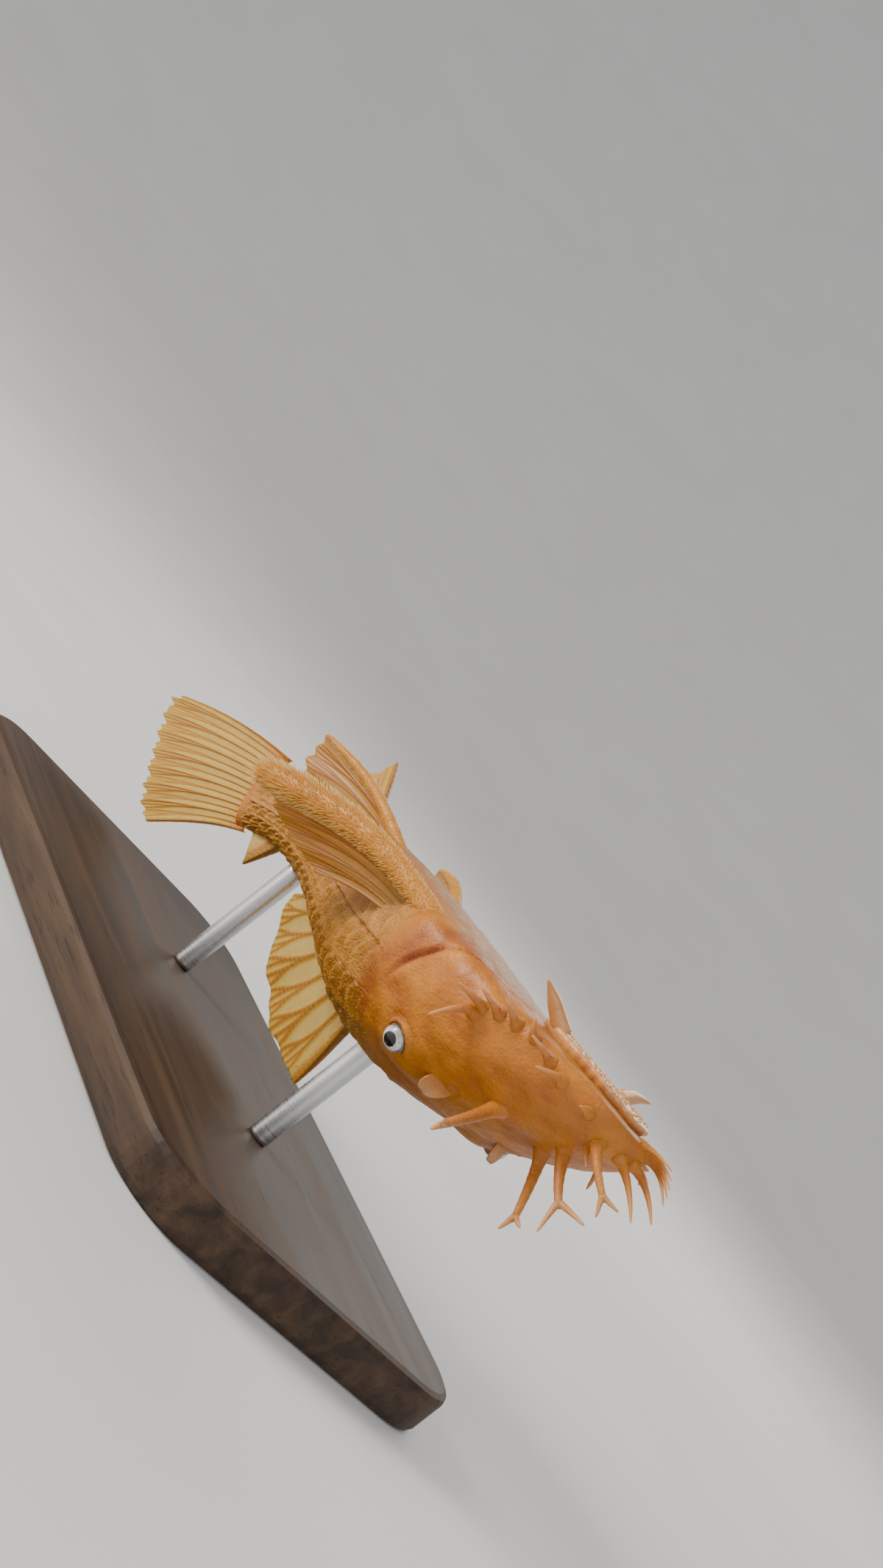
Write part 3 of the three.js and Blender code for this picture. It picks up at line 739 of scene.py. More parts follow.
@dataclass(frozen=True)
class SatinWood:
    """Dark close-grained wood under satin lacquer."""

    name: str = "satin_wood"
    dark: Colour = (0.026, 0.015, 0.009)
    light: Colour = (0.085, 0.048, 0.026)
    pore: Colour = (0.012, 0.007, 0.005)
    grain_scale: tuple[float, float, float] = (22.0, 320.0, 320.0)
    pore_scale: tuple[float, float, float] = (160.0, 2600.0, 2600.0)

    def material(self) -> Material:
        """Builds the finish.

        Returns:
            The material.
        """
        g = Graph(self.name)
        stretched = g.node("Mapping", {"Vector": g.place(), "Scale": self.grain_scale}).outputs["Vector"]
        grain = g.node("TexNoise", {"Vector": stretched, "Scale": 1.0, "Detail": 6.0, "Distortion": 0.6})
        pores = g.node("Mapping", {"Vector": g.place(), "Scale": self.pore_scale}).outputs["Vector"]
        fleck = g.node("TexNoise", {"Vector": pores, "Scale": 1.0, "Detail": 2.0}).outputs["Fac"]
        colour = g.tint(g.spread(grain.outputs["Fac"], 0.35, 0.68), self.dark, self.light)
        colour = g.tint(g.spread(fleck, 0.6, 0.7, 0.0, 0.6), colour, self.pore)
        rough = g.spread(grain.outputs["Fac"], 0.3, 0.7, 0.52, 0.66)
        normal = g.relief((fleck, 0.02))
        return g.finish(Base_Color=colour, Roughness=rough, Normal=normal, Specular_IOR_Level=0.3)


@dataclass(frozen=True)
class BrushedSteel:
    """Round steel bar brushed round its length."""

    name: str = "brushed_steel"
    steel: Colour = (0.56, 0.57, 0.58)
    bright: Colour = (0.66, 0.67, 0.68)
    mark_scale: tuple[float, float, float] = (300.0, 300.0, 9000.0)

    def material(self) -> Material:
        """Builds the finish.

        Returns:
            The material.
        """
        g = Graph(self.name)
        stretched = g.node("Mapping", {"Vector": g.place(), "Scale": self.mark_scale}).outputs["Vector"]
        marks = g.node("TexNoise", {"Vector": stretched, "Scale": 1.0, "Detail": 3.0}).outputs["Fac"]
        rough = g.spread(marks, 0.3, 0.7, 0.24, 0.4)
        colour = g.tint(g.spread(marks, 0.3, 0.7), self.steel, self.bright)
        return g.finish(Base_Color=colour, Metallic=1.0, Roughness=rough, Normal=g.relief((marks, 0.006)))


@dataclass(frozen=True)
class StudioPaper:
    """Pale matt backdrop paper."""

    name: str = "studio_paper"
    pale: Colour = (0.8, 0.79, 0.77)
    soft: Colour = (0.78, 0.77, 0.75)

    def material(self) -> Material:
        """Builds the finish.

        Returns:
            The material.
        """
        g = Graph(self.name)
        colour = g.tint(g.spread(g.grain(14, 2), 0.4, 0.6), self.pale, self.soft)
        return g.finish(Base_Color=colour, Roughness=0.85)


def sheet_faces(rows: int, columns: int, closed: bool, first: int = 0) -> list[tuple[int, ...]]:
    """Joins a grid of points into faces.

    Args:
        rows: How many rows the grid has.
        columns: How many points are in a row.
        closed: True where each row is a ring.
        first: The number of the grid's first point.

    Returns:
        The faces, each a run of four points.
    """
    reach = columns if closed else columns - 1
    row, column = np.meshgrid(np.arange(rows - 1), np.arange(reach), indexing="ij")
    here = first + row * columns + column
    beside = first + row * columns + (column + 1) % columns
    found = np.stack([here, beside, beside + columns, here + columns], axis=-1)
    return [tuple(face) for face in found.reshape(-1, 4).tolist()]


@dataclass
class Shell:
    """Points and faces of a closed surface, with numbers stored on the points."""

    points: np.ndarray
    faces: list[tuple[int, ...]]
    numbers: Stored = field(default_factory=dict)

    @staticmethod
    def join(shells: list[Shell]) -> Shell:
        """Puts several shells in one.

        Args:
            shells: The shells.

        Returns:
            One shell, in which a number that a shell lacked is 0 on its points.
        """
        names = sorted({name for shell in shells for name in shell.numbers})
        faces: list[tuple[int, ...]] = []
        start = 0
        for shell in shells:
            faces += [tuple(corner + start for corner in face) for face in shell.faces]
            start += len(shell.points)
        numbers = {}
        for name in names:
            like = next(shell.numbers[name] for shell in shells if name in shell.numbers)
            blank = like.shape[1:]
            numbers[name] = np.concatenate(
                [shell.numbers.get(name, np.zeros((len(shell.points),) + blank)) for shell in shells]
            )
        return Shell(np.concatenate([shell.points for shell in shells]), faces, numbers)

    def build(self, name: str, material: Material) -> Piece:
        """Makes a smooth mesh object with outward faces.

        Args:
            name: The piece's name.
            material: Its finish.

        Returns:
            The object, at the origin.
        """
        mesh = bpy.data.meshes.new(name)
        mesh.from_pydata(self.points.tolist(), [], self.faces)
        for label, values in self.numbers.items():
            kind = "FLOAT_VECTOR" if values.ndim == 2 else "FLOAT"
            layer = mesh.attributes.new(label, kind, "POINT")
            layer.data.foreach_set("vector" if values.ndim == 2 else "value", values.astype(float).ravel())
        mesh.polygons.foreach_set("use_smooth", [True] * len(mesh.polygons))
        mesh.materials.append(material)
        mesh.update()
        piece = bpy.data.objects.new(name, mesh)
        bpy.context.scene.collection.objects.link(piece)
        return piece


def report(piece: Piece) -> None:
    """Writes a finished piece to the log."""
    log.info("%s: %d faces", piece.name, len(piece.data.polygons))


def ringed_shell(rings: np.ndarray, numbers: Stored | None = None) -> Shell:
    """Closes a stack of rings with a point at each end.

    Args:
        rings: Points in world space, as rings by points by 3.
        numbers: Numbers for the points, as rings by points.

    Returns:
        The closed shell, its faces outwards.
    """
    count, sides = rings.shape[:2]
    points = np.concatenate([rings.reshape(-1, 3), rings[[0, -1]].mean(axis=1)])
    faces = sheet_faces(count, sides, closed=True)
    head, tail = count * sides, count * sides + 1
    last = (count - 1) * sides
    for i in range(sides):
        j = (i + 1) % sides
        faces.append((head, j, i))
        faces.append((tail, last + i, last + j))
    stored = {}
    for name, values in (numbers or {}).items():
        flat = values.reshape(count * sides, *values.shape[2:])
        stored[name] = np.concatenate([flat, values[[0, -1]].mean(axis=1)])
    return outward(Shell(points, faces, stored))


def outward(shell: Shell) -> Shell:
    """Turns a shell's faces outwards, judged by its signed volume.

    Args:
        shell: A closed shell.

    Returns:
        The same shell.
    """
    triangles = np.array([(f[0], f[i], f[i + 1]) for f in shell.faces for i in range(1, len(f) - 1)])
    a, b, c = (shell.points[triangles[:, i]] for i in range(3))
    if np.einsum("ij,ij->i", a, np.cross(b, c)).sum() < 0:
        shell.faces = [face[::-1] for face in shell.faces]
    return shell


def tube(path: np.ndarray, radii: np.ndarray, sides: int, numbers: Stored | None = None) -> Shell:
    """Makes a round tapered tube along a path.

    Args:
        path: Points along the middle, in world space.
        radii: The radius at each point.
        sides: How many sides the tube has.
        numbers: Numbers for each point of the path.

    Returns:
        The closed tube.
    """
    ahead = unit(np.gradient(path, axis=0))
    sideways = unit(np.cross(np.array(TUBE_SIDE), ahead))
    upwards = np.cross(ahead, sideways)
    turn = np.linspace(0, 2 * np.pi, sides, endpoint=False)
    ring = sideways[:, None] * np.cos(turn)[None, :, None] + upwards[:, None] * np.sin(turn)[None, :, None]
    rings = path[:, None] + ring * radii[:, None, None]
    spread = {name: np.repeat(values[:, None], sides, axis=1) for name, values in (numbers or {}).items()}
    return ringed_shell(rings, spread)


@dataclass(frozen=True)
class Tentacle:
    """One soft snout tentacle: its foot on the skin, its tip beside the foot, and its girth in mm."""

    station: float
    angle: float
    forwards: float
    leftwards: float
    upwards: float
    girth: float
    tine: float = 0.0

    def shells(self, plan: BodyPlan) -> list[Shell]:
        """Makes the stem and, on a long one, its two tines.

        Args:
            plan: The proportions of the fish.

        Returns:
            Tubes in world space, with their paleness towards the tip.
        """
        foot = plan.surface(self.station, self.angle)
        under = self.station + 3
        middle = plan.beside(under, 0, plan.half_heights(under)[0, 3] + 0.5)
        outward_way = unit(foot - middle)
        tip = foot + np.array([self.forwards, self.leftwards, self.upwards]) * plan.share
        length = float(np.linalg.norm(tip - foot))
        bend = foot + outward_way * length * 0.42
        t = np.linspace(0, 1, 22)[:, None]
        curve = foot * (1 - t) ** 2 + bend * 2 * t * (1 - t) + tip * t * t
        path = np.vstack([foot - outward_way * 0.9, foot - outward_way * 0.3, curve])
        thin = 0.56 if self.tine else 0.26
        along = np.clip((np.arange(len(path)) - 2) / (len(path) - 3), 0, 1)
        wrinkle = 1 + 0.035 * np.sin(along * length * 5.5)
        radii = self.girth * (1.15 * (1 - along**0.8) + thin * along**0.8) * wrinkle
        radii += self.girth * 0.55 * np.exp(-along * length / 0.8)
        radii[-2:] *= np.array([0.92, 0.6] if self.tine else [0.82, 0.45])
        pale = along**2 * (0.3 if self.tine else 0.5)
        shells = [tube(plan.world(path), radii * MM, 12, {"tip": pale})]
        if self.tine:
            ahead = unit(tip - bend)
            across = unit(np.array([0, 0.35, 1]) - ahead * (ahead[2] + 0.35 * ahead[1]))
            shells += [self.tine_shell(plan, tip, ahead, across * way) for way in (-1, 1)]
        return shells

    def tine_shell(self, plan: BodyPlan, tip: np.ndarray, ahead: np.ndarray, across: np.ndarray) -> Shell:
        """Makes one tine.

        Args:
            plan: The proportions of the fish.
            tip: Where the stem ends.
            ahead: The way the stem points.
            across: The way the tine turns.

        Returns:
            The tine's tube.
        """
        t = np.linspace(0, 1, 12)[:, None]
        start = tip - ahead * 0.75
        end = tip + (ahead * 0.75 + across * 0.7) * self.tine * plan.share
        bend = tip + (ahead * 0.25 + across * 0.38) * self.tine * plan.share
        path = start * (1 - t) ** 2 + bend * 2 * t * (1 - t) + end * t * t
        radii = self.girth * (0.6 - 0.4 * t[:, 0]) * np.where(t[:, 0] > 0.95, 0.4, 1)
        return tube(plan.world(path), radii * MM, 10, {"tip": 0.3 + 0.4 * t[:, 0]})


@dataclass
class FishSkin:
    """The whole skin from lips to tail root, with its plates, folds, tentacles and nostril flaps."""

    plan: BodyPlan
    rows: int = 430
    columns: int = 208
    plate_count: int = 22
    plate_rows: int = 5
    plate_low: float = -28.0
    plate_top: float = 88.0
    plate_rise: float = 0.42
    gill_station: float = 26.1
    gill_slant: float = 0.14
    nostril_station: float = 16.2
    nostril_angle: float = 66.0
    flap_station: float = 18.0
    flap_height: float = 2.2
    branched: tuple[Tentacle, ...] = (
        Tentacle(10.6, 66, 4.1, 7.5, 5.5, 0.78, 1.2),
        Tentacle(9.2, 100, 6.7, 1.3, 6.8, 0.68, 1.9),
        Tentacle(5.3, 92, 6.1, -0.1, 4.2, 0.72, 3.7),
        Tentacle(0.9, 72, 6.6, -0.6, 3.1, 0.6, 1.8),
        Tentacle(0.5, 118, 7.2, -0.9, 3.0, 0.52),
        Tentacle(0.8, 158, 6.9, -1.4, 2.2, 0.52),
        Tentacle(2.2, 84, 2.2, -0.1, 1.4, 0.36),
    )
    edge_row: tuple[Tentacle, ...] = (
        Tentacle(15.8, 8, 0.3, 4.2, 4.0, 0.62),
        Tentacle(15.2, 3, -1.1, 4.5, 0.3, 0.58),
        Tentacle(13.6, 0, -1.0, 3.9, -0.4, 0.56),
        Tentacle(11.6, -4, -0.8, 3.2, -0.9, 0.54),
        Tentacle(9.4, -8, -0.2, 2.2, -1.6, 0.5),
        Tentacle(6.6, 0, -1.0, 3.9, -0.3, 0.54),
        Tentacle(4.7, 6, -0.6, 3.6, 1.2, 0.54),
        Tentacle(1.6, 15, 0.8, 2.4, 0.2, 0.48),
    )
    front_count: int = 5

    def tentacles(self) -> list[Tentacle]:
        """Lists every tentacle of the snout.

        Returns:
            The branched ones, both edge rows and the row along the lip.
        """
        mirrored = [
            Tentacle(t.station * 0.97, HALF_TURN - t.angle, t.forwards, -t.leftwards, t.upwards, t.girth)
            for t in self.edge_row
        ]
        front = []
        for i in range(self.front_count):
            share = i / (self.front_count - 1)
            front.append(Tentacle(1.1, 196 + 50 * share, 5.6 - 1.12 * share, -1.3, 1.6 - 2.5 * share, 0.36))
        return [*self.branched, *self.edge_row, *mirrored, *front]

    def stations(self) -> np.ndarray:
        """Spaces the skin's rings, closest at the snout and the eyes.

        Returns:
            Their stations, in %.
        """
        ends = [0.02, 0.2, 1.2, 6.0, 20.0, 27.0, self.plan.shield_end, self.plan.skin_end]
        shares = [0.0, 0.012, 0.035, 0.1, 0.235, 0.335, 0.4, 1.0]
        return np.interp(np.linspace(0, 1, self.rows), shares, ends)

    def angles(self) -> np.ndarray:
        """Spaces the points round a middle section, closest beside the back.

        Returns:
            Their angles, in degrees.
        """
        fine = np.linspace(0, 360, 3601)
        ring = self.plan.skin(30.0, fine)
        close = 1 + 1.3 * bump(np.abs(fine - 90) - 40, 15) + 0.6 * bump(np.abs(fine - 90) - 80, 20)
        steps = np.linalg.norm(np.diff(ring, axis=0), axis=1) * close[1:]
        travelled = np.concatenate([[0], np.cumsum(steps)])
        return np.interp(np.linspace(0, travelled[-1], self.columns, endpoint=False), travelled, fine)

    def plate_pattern(self, station: np.ndarray, side: np.ndarray) -> tuple[np.ndarray, ...]:
        """Lays the bony plates: rows along each side, each plate lapping over the next.

        Args:
            station: Distances from the snout, in %.
            side: Angles from the belly to the back, in degrees.

        Returns:
            The rise in mm, the nearness to a plate's rear rim and to a seam, the covered area, and the
            count of plates from the head shield.
        """
        row = (side - self.plate_low) / (self.plate_top - self.plate_low) * self.plate_rows
        across = np.abs(np.mod(row, 1) - 0.5) * 2
        pitch = (self.plan.tail_root - self.plan.shield_end) / self.plate_count
        stagger = 0.5 * np.mod(np.floor(row), 2)
        column = (station - self.plan.shield_end) / pitch + stagger - 0.42 * (1 - across**2)
        wave = 0.05 * np.sin(row * 9.0 + np.floor(column) * 2.3)
        along = np.mod(column + wave, 1)
        ramp = np.where(along < 0.87, (along / 0.87) ** 1.3, (1 - along) / 0.13)
        cover = ease(self.plate_low - 4, self.plate_low + 4, side) * ease(92, 84, side)
        cover = cover * ease(self.plan.shield_end - 3.5, self.plan.shield_end + 2, station)
        cover = cover * ease(self.plan.tail_root + 1, self.plan.tail_root - 2, station)
        seam = 1 - bump(1 - across, 0.13)
        keel = 0.14 * bump(across, 0.22) * (0.4 + 0.6 * ramp)
        rise = self.plate_rise * (0.2 + 0.8 * ramp) * (0.45 + 0.55 * seam) + keel
        rim = ease(0.5, 0.84, along) * ease(1.0, 0.93, along)
        groove = np.maximum(ease(0.88, 0.98, along), ease(0.16, 0.0, along))
        groove = np.maximum(groove, 0.4 * bump(1 - across, 0.12))
        return rise * cover, rim * cover, groove * cover, cover, column

    def gill(self, station: np.ndarray, side: np.ndarray) -> np.ndarray:
        """Shapes the gill opening.

        Args:
            station: Distances from the snout, in %.
            side: Angles from the belly to the back, in degrees.

        Returns:
            The depth of its slit, from 0 to 1.
        """
        line = self.gill_station + self.gill_slant * side
        span = ease(-74, -60, side) * ease(30, 8, side)
        return bump(station - line - 0.4 * np.sin(side * 0.17), 0.4) * span

    def feet(self, points: np.ndarray) -> np.ndarray:
        """Swells the skin round each tentacle's foot.

        Args:
            points: Points on the plain skin.

        Returns:
            The rise of each, in mm.
        """
        swelling = np.zeros(points.shape[:-1])
        for one in self.tentacles():
            foot = self.plan.surface(one.station, one.angle)
            distance = np.linalg.norm(points - foot, axis=-1)
            swelling += one.girth * 0.5 * bump(distance, one.girth * 2.6)
        return np.minimum(swelling, 0.6)

    def orbit(self, points: np.ndarray, out: np.ndarray) -> tuple[np.ndarray, np.ndarray]:
        """Folds the skin into a lid round each eye.

        Args:
            points: Points on the plain skin.
            out: The unit normals there.

        Returns:
            The moved points, and how near each is to a lid.
        """
        near = np.zeros(points.shape[:-1])
        for side in Side:
            centre, axis = self.plan.eye_axis(side)
            reach = points - centre
            height = reach @ axis
            around = np.linalg.norm(reach - height[..., None] * axis, axis=-1)
            facing = height > 0
            rim = 0.3 * bump(around - 1.8, 0.3) - 0.16 * bump(around - 2.4, 0.35)
            sunk = ease(1.66, 1.4, around) * 1.2
            points = points + out * (np.where(facing, rim - sunk, 0.0))[..., None]
            near += np.where(facing, bump(around - 1.62, 0.25), 0.0)
        return points, np.minimum(near, 1)

    def nostrils(self, points: np.ndarray) -> np.ndarray:
        """Shapes the rim and the pit of each nostril.

        Args:
            points: Points on the plain skin.

        Returns:
            The rise of each, in mm.
        """
        made = np.zeros(points.shape[:-1])
        for side in Side:
            place = self.plan.surface(self.nostril_station, side.angle(self.nostril_angle))
            distance = np.linalg.norm(points - place, axis=-1)
            made += 0.25 * bump(distance - 0.95, 0.3) - 0.75 * bump(distance, 0.55)
        return made

    def body(self) -> Shell:
        """Makes the body's surface, with its gill red and painted fold shade, its belly's painted shade and
        its cover stored for its finish.

        Returns:
            The closed shell in world space.
        """
        plan = self.plan
        station, angle = np.meshgrid(self.stations(), self.angles(), indexing="ij")
        side = signed_side(angle)
        plates, rim, seam, cover, column = self.plate_pattern(station, side)
        broad = plan.broad_shape(station, angle)
        plain = plan.skin(station, angle, broad)
        slit = self.gill(station, side)
        lips = 0.6 * bump(station - self.gill_station - self.gill_slant * side + 1.5, 0.9)
        lips *= ease(-74, -60, side) * ease(36, 16, side)
        fleshy = 0.55 * bump(side - 90, 3.2) * ease(42, 47, station) * ease(75, 70, station)
        flesh = np.array([noise.noise(Vector(p * 0.42)) for p in plain.reshape(-1, 3)]).reshape(side.shape)
        fine = np.array([noise.noise(Vector(p * 1.5)) for p in plain.reshape(-1, 3)]).reshape(side.shape)
        soft = (0.16 * flesh + 0.06 * fine) * np.clip(station / 3, 0, 1)
        rise = broad + plates + 0.35 * lips - 0.7 * slit + fleshy + soft
        rise = rise + self.feet(plain) + self.nostrils(plain)
        points = plan.skin(station, angle, rise)
        out = unit(plan.skin(station, angle, rise + 1) - points)
        points, lid = self.orbit(points, out)
        backwards = plan.spine(station)[1]
        lie = plan.world_way(backwards + 0.55 * out)
        # Painted shade: how far each point lies towards the belly side, which the skin's finish darkens
        belly = ease(-30, -62, side) * ease(2, 10, station)
        # The folds' russet: the gill slit's own red, with painted shade in the slit, round the eye lids, at
        # the shoulder and in the skin's dents
        fold = np.clip(1.1 * slit + 0.55 * bump(station - 29.0 - 0.1 * side, 3.0) * ease(60, 30, side), 0, 1)
        fold = np.clip(fold * 0.75 + 0.55 * ease(0.02, -0.14, flesh * 0.3) * 0.4 + 0.3 * lid, 0, 0.9)
        comb = np.clip(0.18 * cover + rim, 0, 1) * ease(plan.tail_root + 1, plan.tail_root - 2, station)
        numbers = {
            "rim": np.clip(0.15 * cover + 0.85 * rim, 0, 1),
            "seam": seam,
            "armour": cover,
            "column": column,
            "belly": belly,
            "fold": fold,
            "comb": comb,
            "lie": unit(lie),
        }
        return ringed_shell(plan.world(points), numbers)

    def nostril_flap(self, side: Side) -> Shell:
        """Makes the thin ear-shaped flap between the two openings of a nostril.

        Args:
            side: The nostril's side.

        Returns:
            The flap's shell in world space.
        """
        plan = self.plan
        foot = plan.surface(self.flap_station, side.angle(self.nostril_angle))
        tall = plan.towards(30, 0.25, 0.35 * side, 1)
        wide = plan.towards(30, 0.4, side, 0)
        deep = plan.towards(30, 1, -0.4 * side, 0)
        height = np.linspace(-0.7, self.flap_height, 22)
        reach = 1.65 * np.sqrt(np.clip(1 - (np.maximum(height, 0) / 2.25) ** 2.4, 0.004, 1))
        turn = np.linspace(0, 2 * np.pi, 28, endpoint=False)
        curl = 0.35 * np.cos(turn)[None, :] ** 2 * (0.3 + np.clip(height, 0, self.flap_height)[:, None] / 2)
        rings = (
            foot
            + tall * height[:, None, None]
            + wide * (reach[:, None] * np.cos(turn))[..., None]
            + deep * ((0.15 + 0.08 * (self.flap_height - height[:, None])) * np.sin(turn) - curl)[..., None]
        )
        pale = np.repeat(np.clip(height, 0, 2)[:, None] * 0.3, len(turn), axis=1)
        return ringed_shell(plan.world(rings), {"tip": pale})

    def build(self, finish: Material) -> Piece:
        """Args:
            finish: The skin's finish.

        Returns:
            The skin's object.
        """
        shells = [self.body()]
        for one in self.tentacles():
            shells += one.shells(self.plan)
        shells += [self.nostril_flap(side) for side in Side]
        piece = Shell.join(shells).build("skin", finish)
        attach(piece, BODY)
        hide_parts("head", "trunk", "tail_stalk")
        report(piece)
        return piece


@dataclass
class BristleField:
    """Bony bristles grown from a carrier's surface, leaning along its lie."""

    name: str
    density: float
    spacing: float
    length: float
    radius: float
    seed: int
    shortest: float = 0.7
    longest: float = 1.25

    def tree(self, finish: Material) -> bpy.types.NodeTree:
        """Builds the node tree that grows the bristles.

        Args:
            finish: The bristles' finish.

        Returns:
            The tree, with named inputs for its sizes and seed.
        """
        tree = bpy.data.node_groups.new(self.name, "GeometryNodeTree")
        tree.interface.new_socket("Geometry", in_out="INPUT", socket_type="NodeSocketGeometry")
        for label in ("Density", "Spacing", "Length", "Radius"):
            tree.interface.new_socket(label, in_out="INPUT", socket_type="NodeSocketFloat")
        tree.interface.new_socket("Seed", in_out="INPUT", socket_type="NodeSocketInt")
        tree.interface.new_socket("Geometry", in_out="OUTPUT", socket_type="NodeSocketGeometry")
        new, link = tree.nodes.new, tree.links.new
        source = new("NodeGroupInput").outputs
        scatter = new("GeometryNodeDistributePointsOnFaces")
        scatter.distribute_method = "POISSON"
        link(source["Geometry"], scatter.inputs["Mesh"])
        link(source["Spacing"], scatter.inputs["Distance Min"])
        link(source["Density"], scatter.inputs["Density Max"])
        link(self.read(tree, "comb", "FLOAT"), scatter.inputs["Density Factor"])
        link(source["Seed"], scatter.inputs["Seed"])
        align = new("FunctionNodeAlignRotationToVector")
        align.axis = "Z"
        link(self.read(tree, "lie", "FLOAT_VECTOR"), align.inputs["Vector"])
        chance = new("FunctionNodeRandomValue")
        chance.data_type = "FLOAT"
        chance.inputs[2].default_value = self.shortest
        chance.inputs[3].default_value = self.longest
        link(source["Seed"], chance.inputs["Seed"])
        tall = self.times(tree, chance.outputs[1], source["Length"])
        tall = self.times(tree, tall, self.read(tree, "growth", "FLOAT"))
        size = new("ShaderNodeCombineXYZ")
        link(source["Radius"], size.inputs["X"])
        link(source["Radius"], size.inputs["Y"])
        link(tall, size.inputs["Z"])
        cone = new("GeometryNodeMeshCone")
        cone.inputs["Vertices"].default_value = 5
        cone.inputs["Side Segments"].default_value = 2
        cone.inputs["Radius Top"].default_value = 0.12
        cone.inputs["Radius Bottom"].default_value = 1.0
        cone.inputs["Depth"].default_value = 1.0
        height = new("ShaderNodeSeparateXYZ")
        link(new("GeometryNodeInputPosition").outputs["Position"], height.inputs["Vector"])
        store = new("GeometryNodeStoreNamedAttribute")
        store.data_type = "FLOAT"
        store.domain = "POINT"
        store.inputs["Name"].default_value = "along"
        link(cone.outputs["Mesh"], store.inputs["Geometry"])
        link(height.outputs["Z"], store.inputs["Value"])
        grow = new("GeometryNodeInstanceOnPoints")
        link(scatter.outputs["Points"], grow.inputs["Points"])
        link(store.outputs["Geometry"], grow.inputs["Instance"])
        link(align.outputs["Rotation"], grow.inputs["Rotation"])
        link(size.outputs["Vector"], grow.inputs["Scale"])
        real = new("GeometryNodeRealizeInstances")
        link(grow.outputs["Instances"], real.inputs["Geometry"])
        dress = new("GeometryNodeSetMaterial")
        dress.inputs["Material"].default_value = finish
        link(real.outputs["Geometry"], dress.inputs["Geometry"])
        link(dress.outputs["Geometry"], new("NodeGroupOutput").inputs["Geometry"])
        return tree

    @staticmethod
    def read(tree: bpy.types.NodeTree, name: str, kind: str) -> Socket:
        """Reads what is stored on the carrier.

        Args:
            tree: The tree to add to.
            name: The attribute's name.
            kind: Its data type.

        Returns:
            The number or direction.
        """
        made = tree.nodes.new("GeometryNodeInputNamedAttribute")
        made.data_type = kind
        made.inputs["Name"].default_value = name
        return made.outputs["Attribute"]

    @staticmethod
    def times(tree: bpy.types.NodeTree, first: Socket, second: Socket) -> Socket:
        """Multiplies two numbers.

        Args:
            tree: The tree to add to.
            first: A number.
            second: A number.

        Returns:
            Their product.
        """
        made = tree.nodes.new("ShaderNodeMath")
        made.operation = "MULTIPLY"
        tree.links.new(first, made.inputs[0])
        tree.links.new(second, made.inputs[1])
        return made.outputs["Value"]

    def build(self, carrier: Piece, finish: Material, slot: str) -> Piece:
        """Grows the bristles on a piece and keeps them as a plain mesh.

        Args:
            carrier: The piece that they grow on.
            finish: Their finish.
            slot: Not used.

        Returns:
            The bristles' object.
        """
        host = bpy.data.objects.new(self.name + "_host", carrier.data.copy())
        bpy.context.scene.collection.objects.link(host)
        if "growth" not in host.data.attributes:
            layer = host.data.attributes.new("growth", "FLOAT", "POINT")
            layer.data.foreach_set("value", [1.0] * len(host.data.vertices))
        tree = self.tree(finish)
        grower = host.modifiers.new("grow", "NODES")
        grower.node_group = tree
        values = {
            "Density": self.density,
            "Spacing": self.spacing * MM,
            "Length": self.length * MM,
            "Radius": self.radius * MM,
            "Seed": self.seed,
        }
        for item in tree.interface.items_tree:
            if item.in_out == "INPUT" and item.name in values:
                grower[item.identifier] = values[item.name]
        depsgraph = bpy.context.evaluated_depsgraph_get()
        grown = host.evaluated_get(depsgraph)
        mesh = bpy.data.meshes.new_from_object(grown, preserve_all_data_layers=True, depsgraph=depsgraph)
        mesh.name = self.name
        host.modifiers.remove(grower)
        bpy.data.objects.remove(host)
        piece = bpy.data.objects.new(self.name, mesh)
        bpy.context.scene.collection.objects.link(piece)
        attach(piece, BODY)
        report(piece)
        return piece


class FinKind(Enum):
    """The fins of the fish, each with the node that it stands for."""

    DORSAL = "dorsal_fin"
    ADIPOSE = "adipose_fin"
    TAIL = "tail_fin"
    ANAL = "anal_fin"
    PECTORAL_LEFT = "pectoral_fin_left"
    PECTORAL_RIGHT = "pectoral_fin_right"
    PELVIC_LEFT = "pelvic_fin_left"
    PELVIC_RIGHT = "pelvic_fin_right"

    @property
    def paired(self) -> bool:
        """Whether the fin has a twin on the other side."""
        return self not in (FinKind.DORSAL, FinKind.ADIPOSE, FinKind.TAIL, FinKind.ANAL)


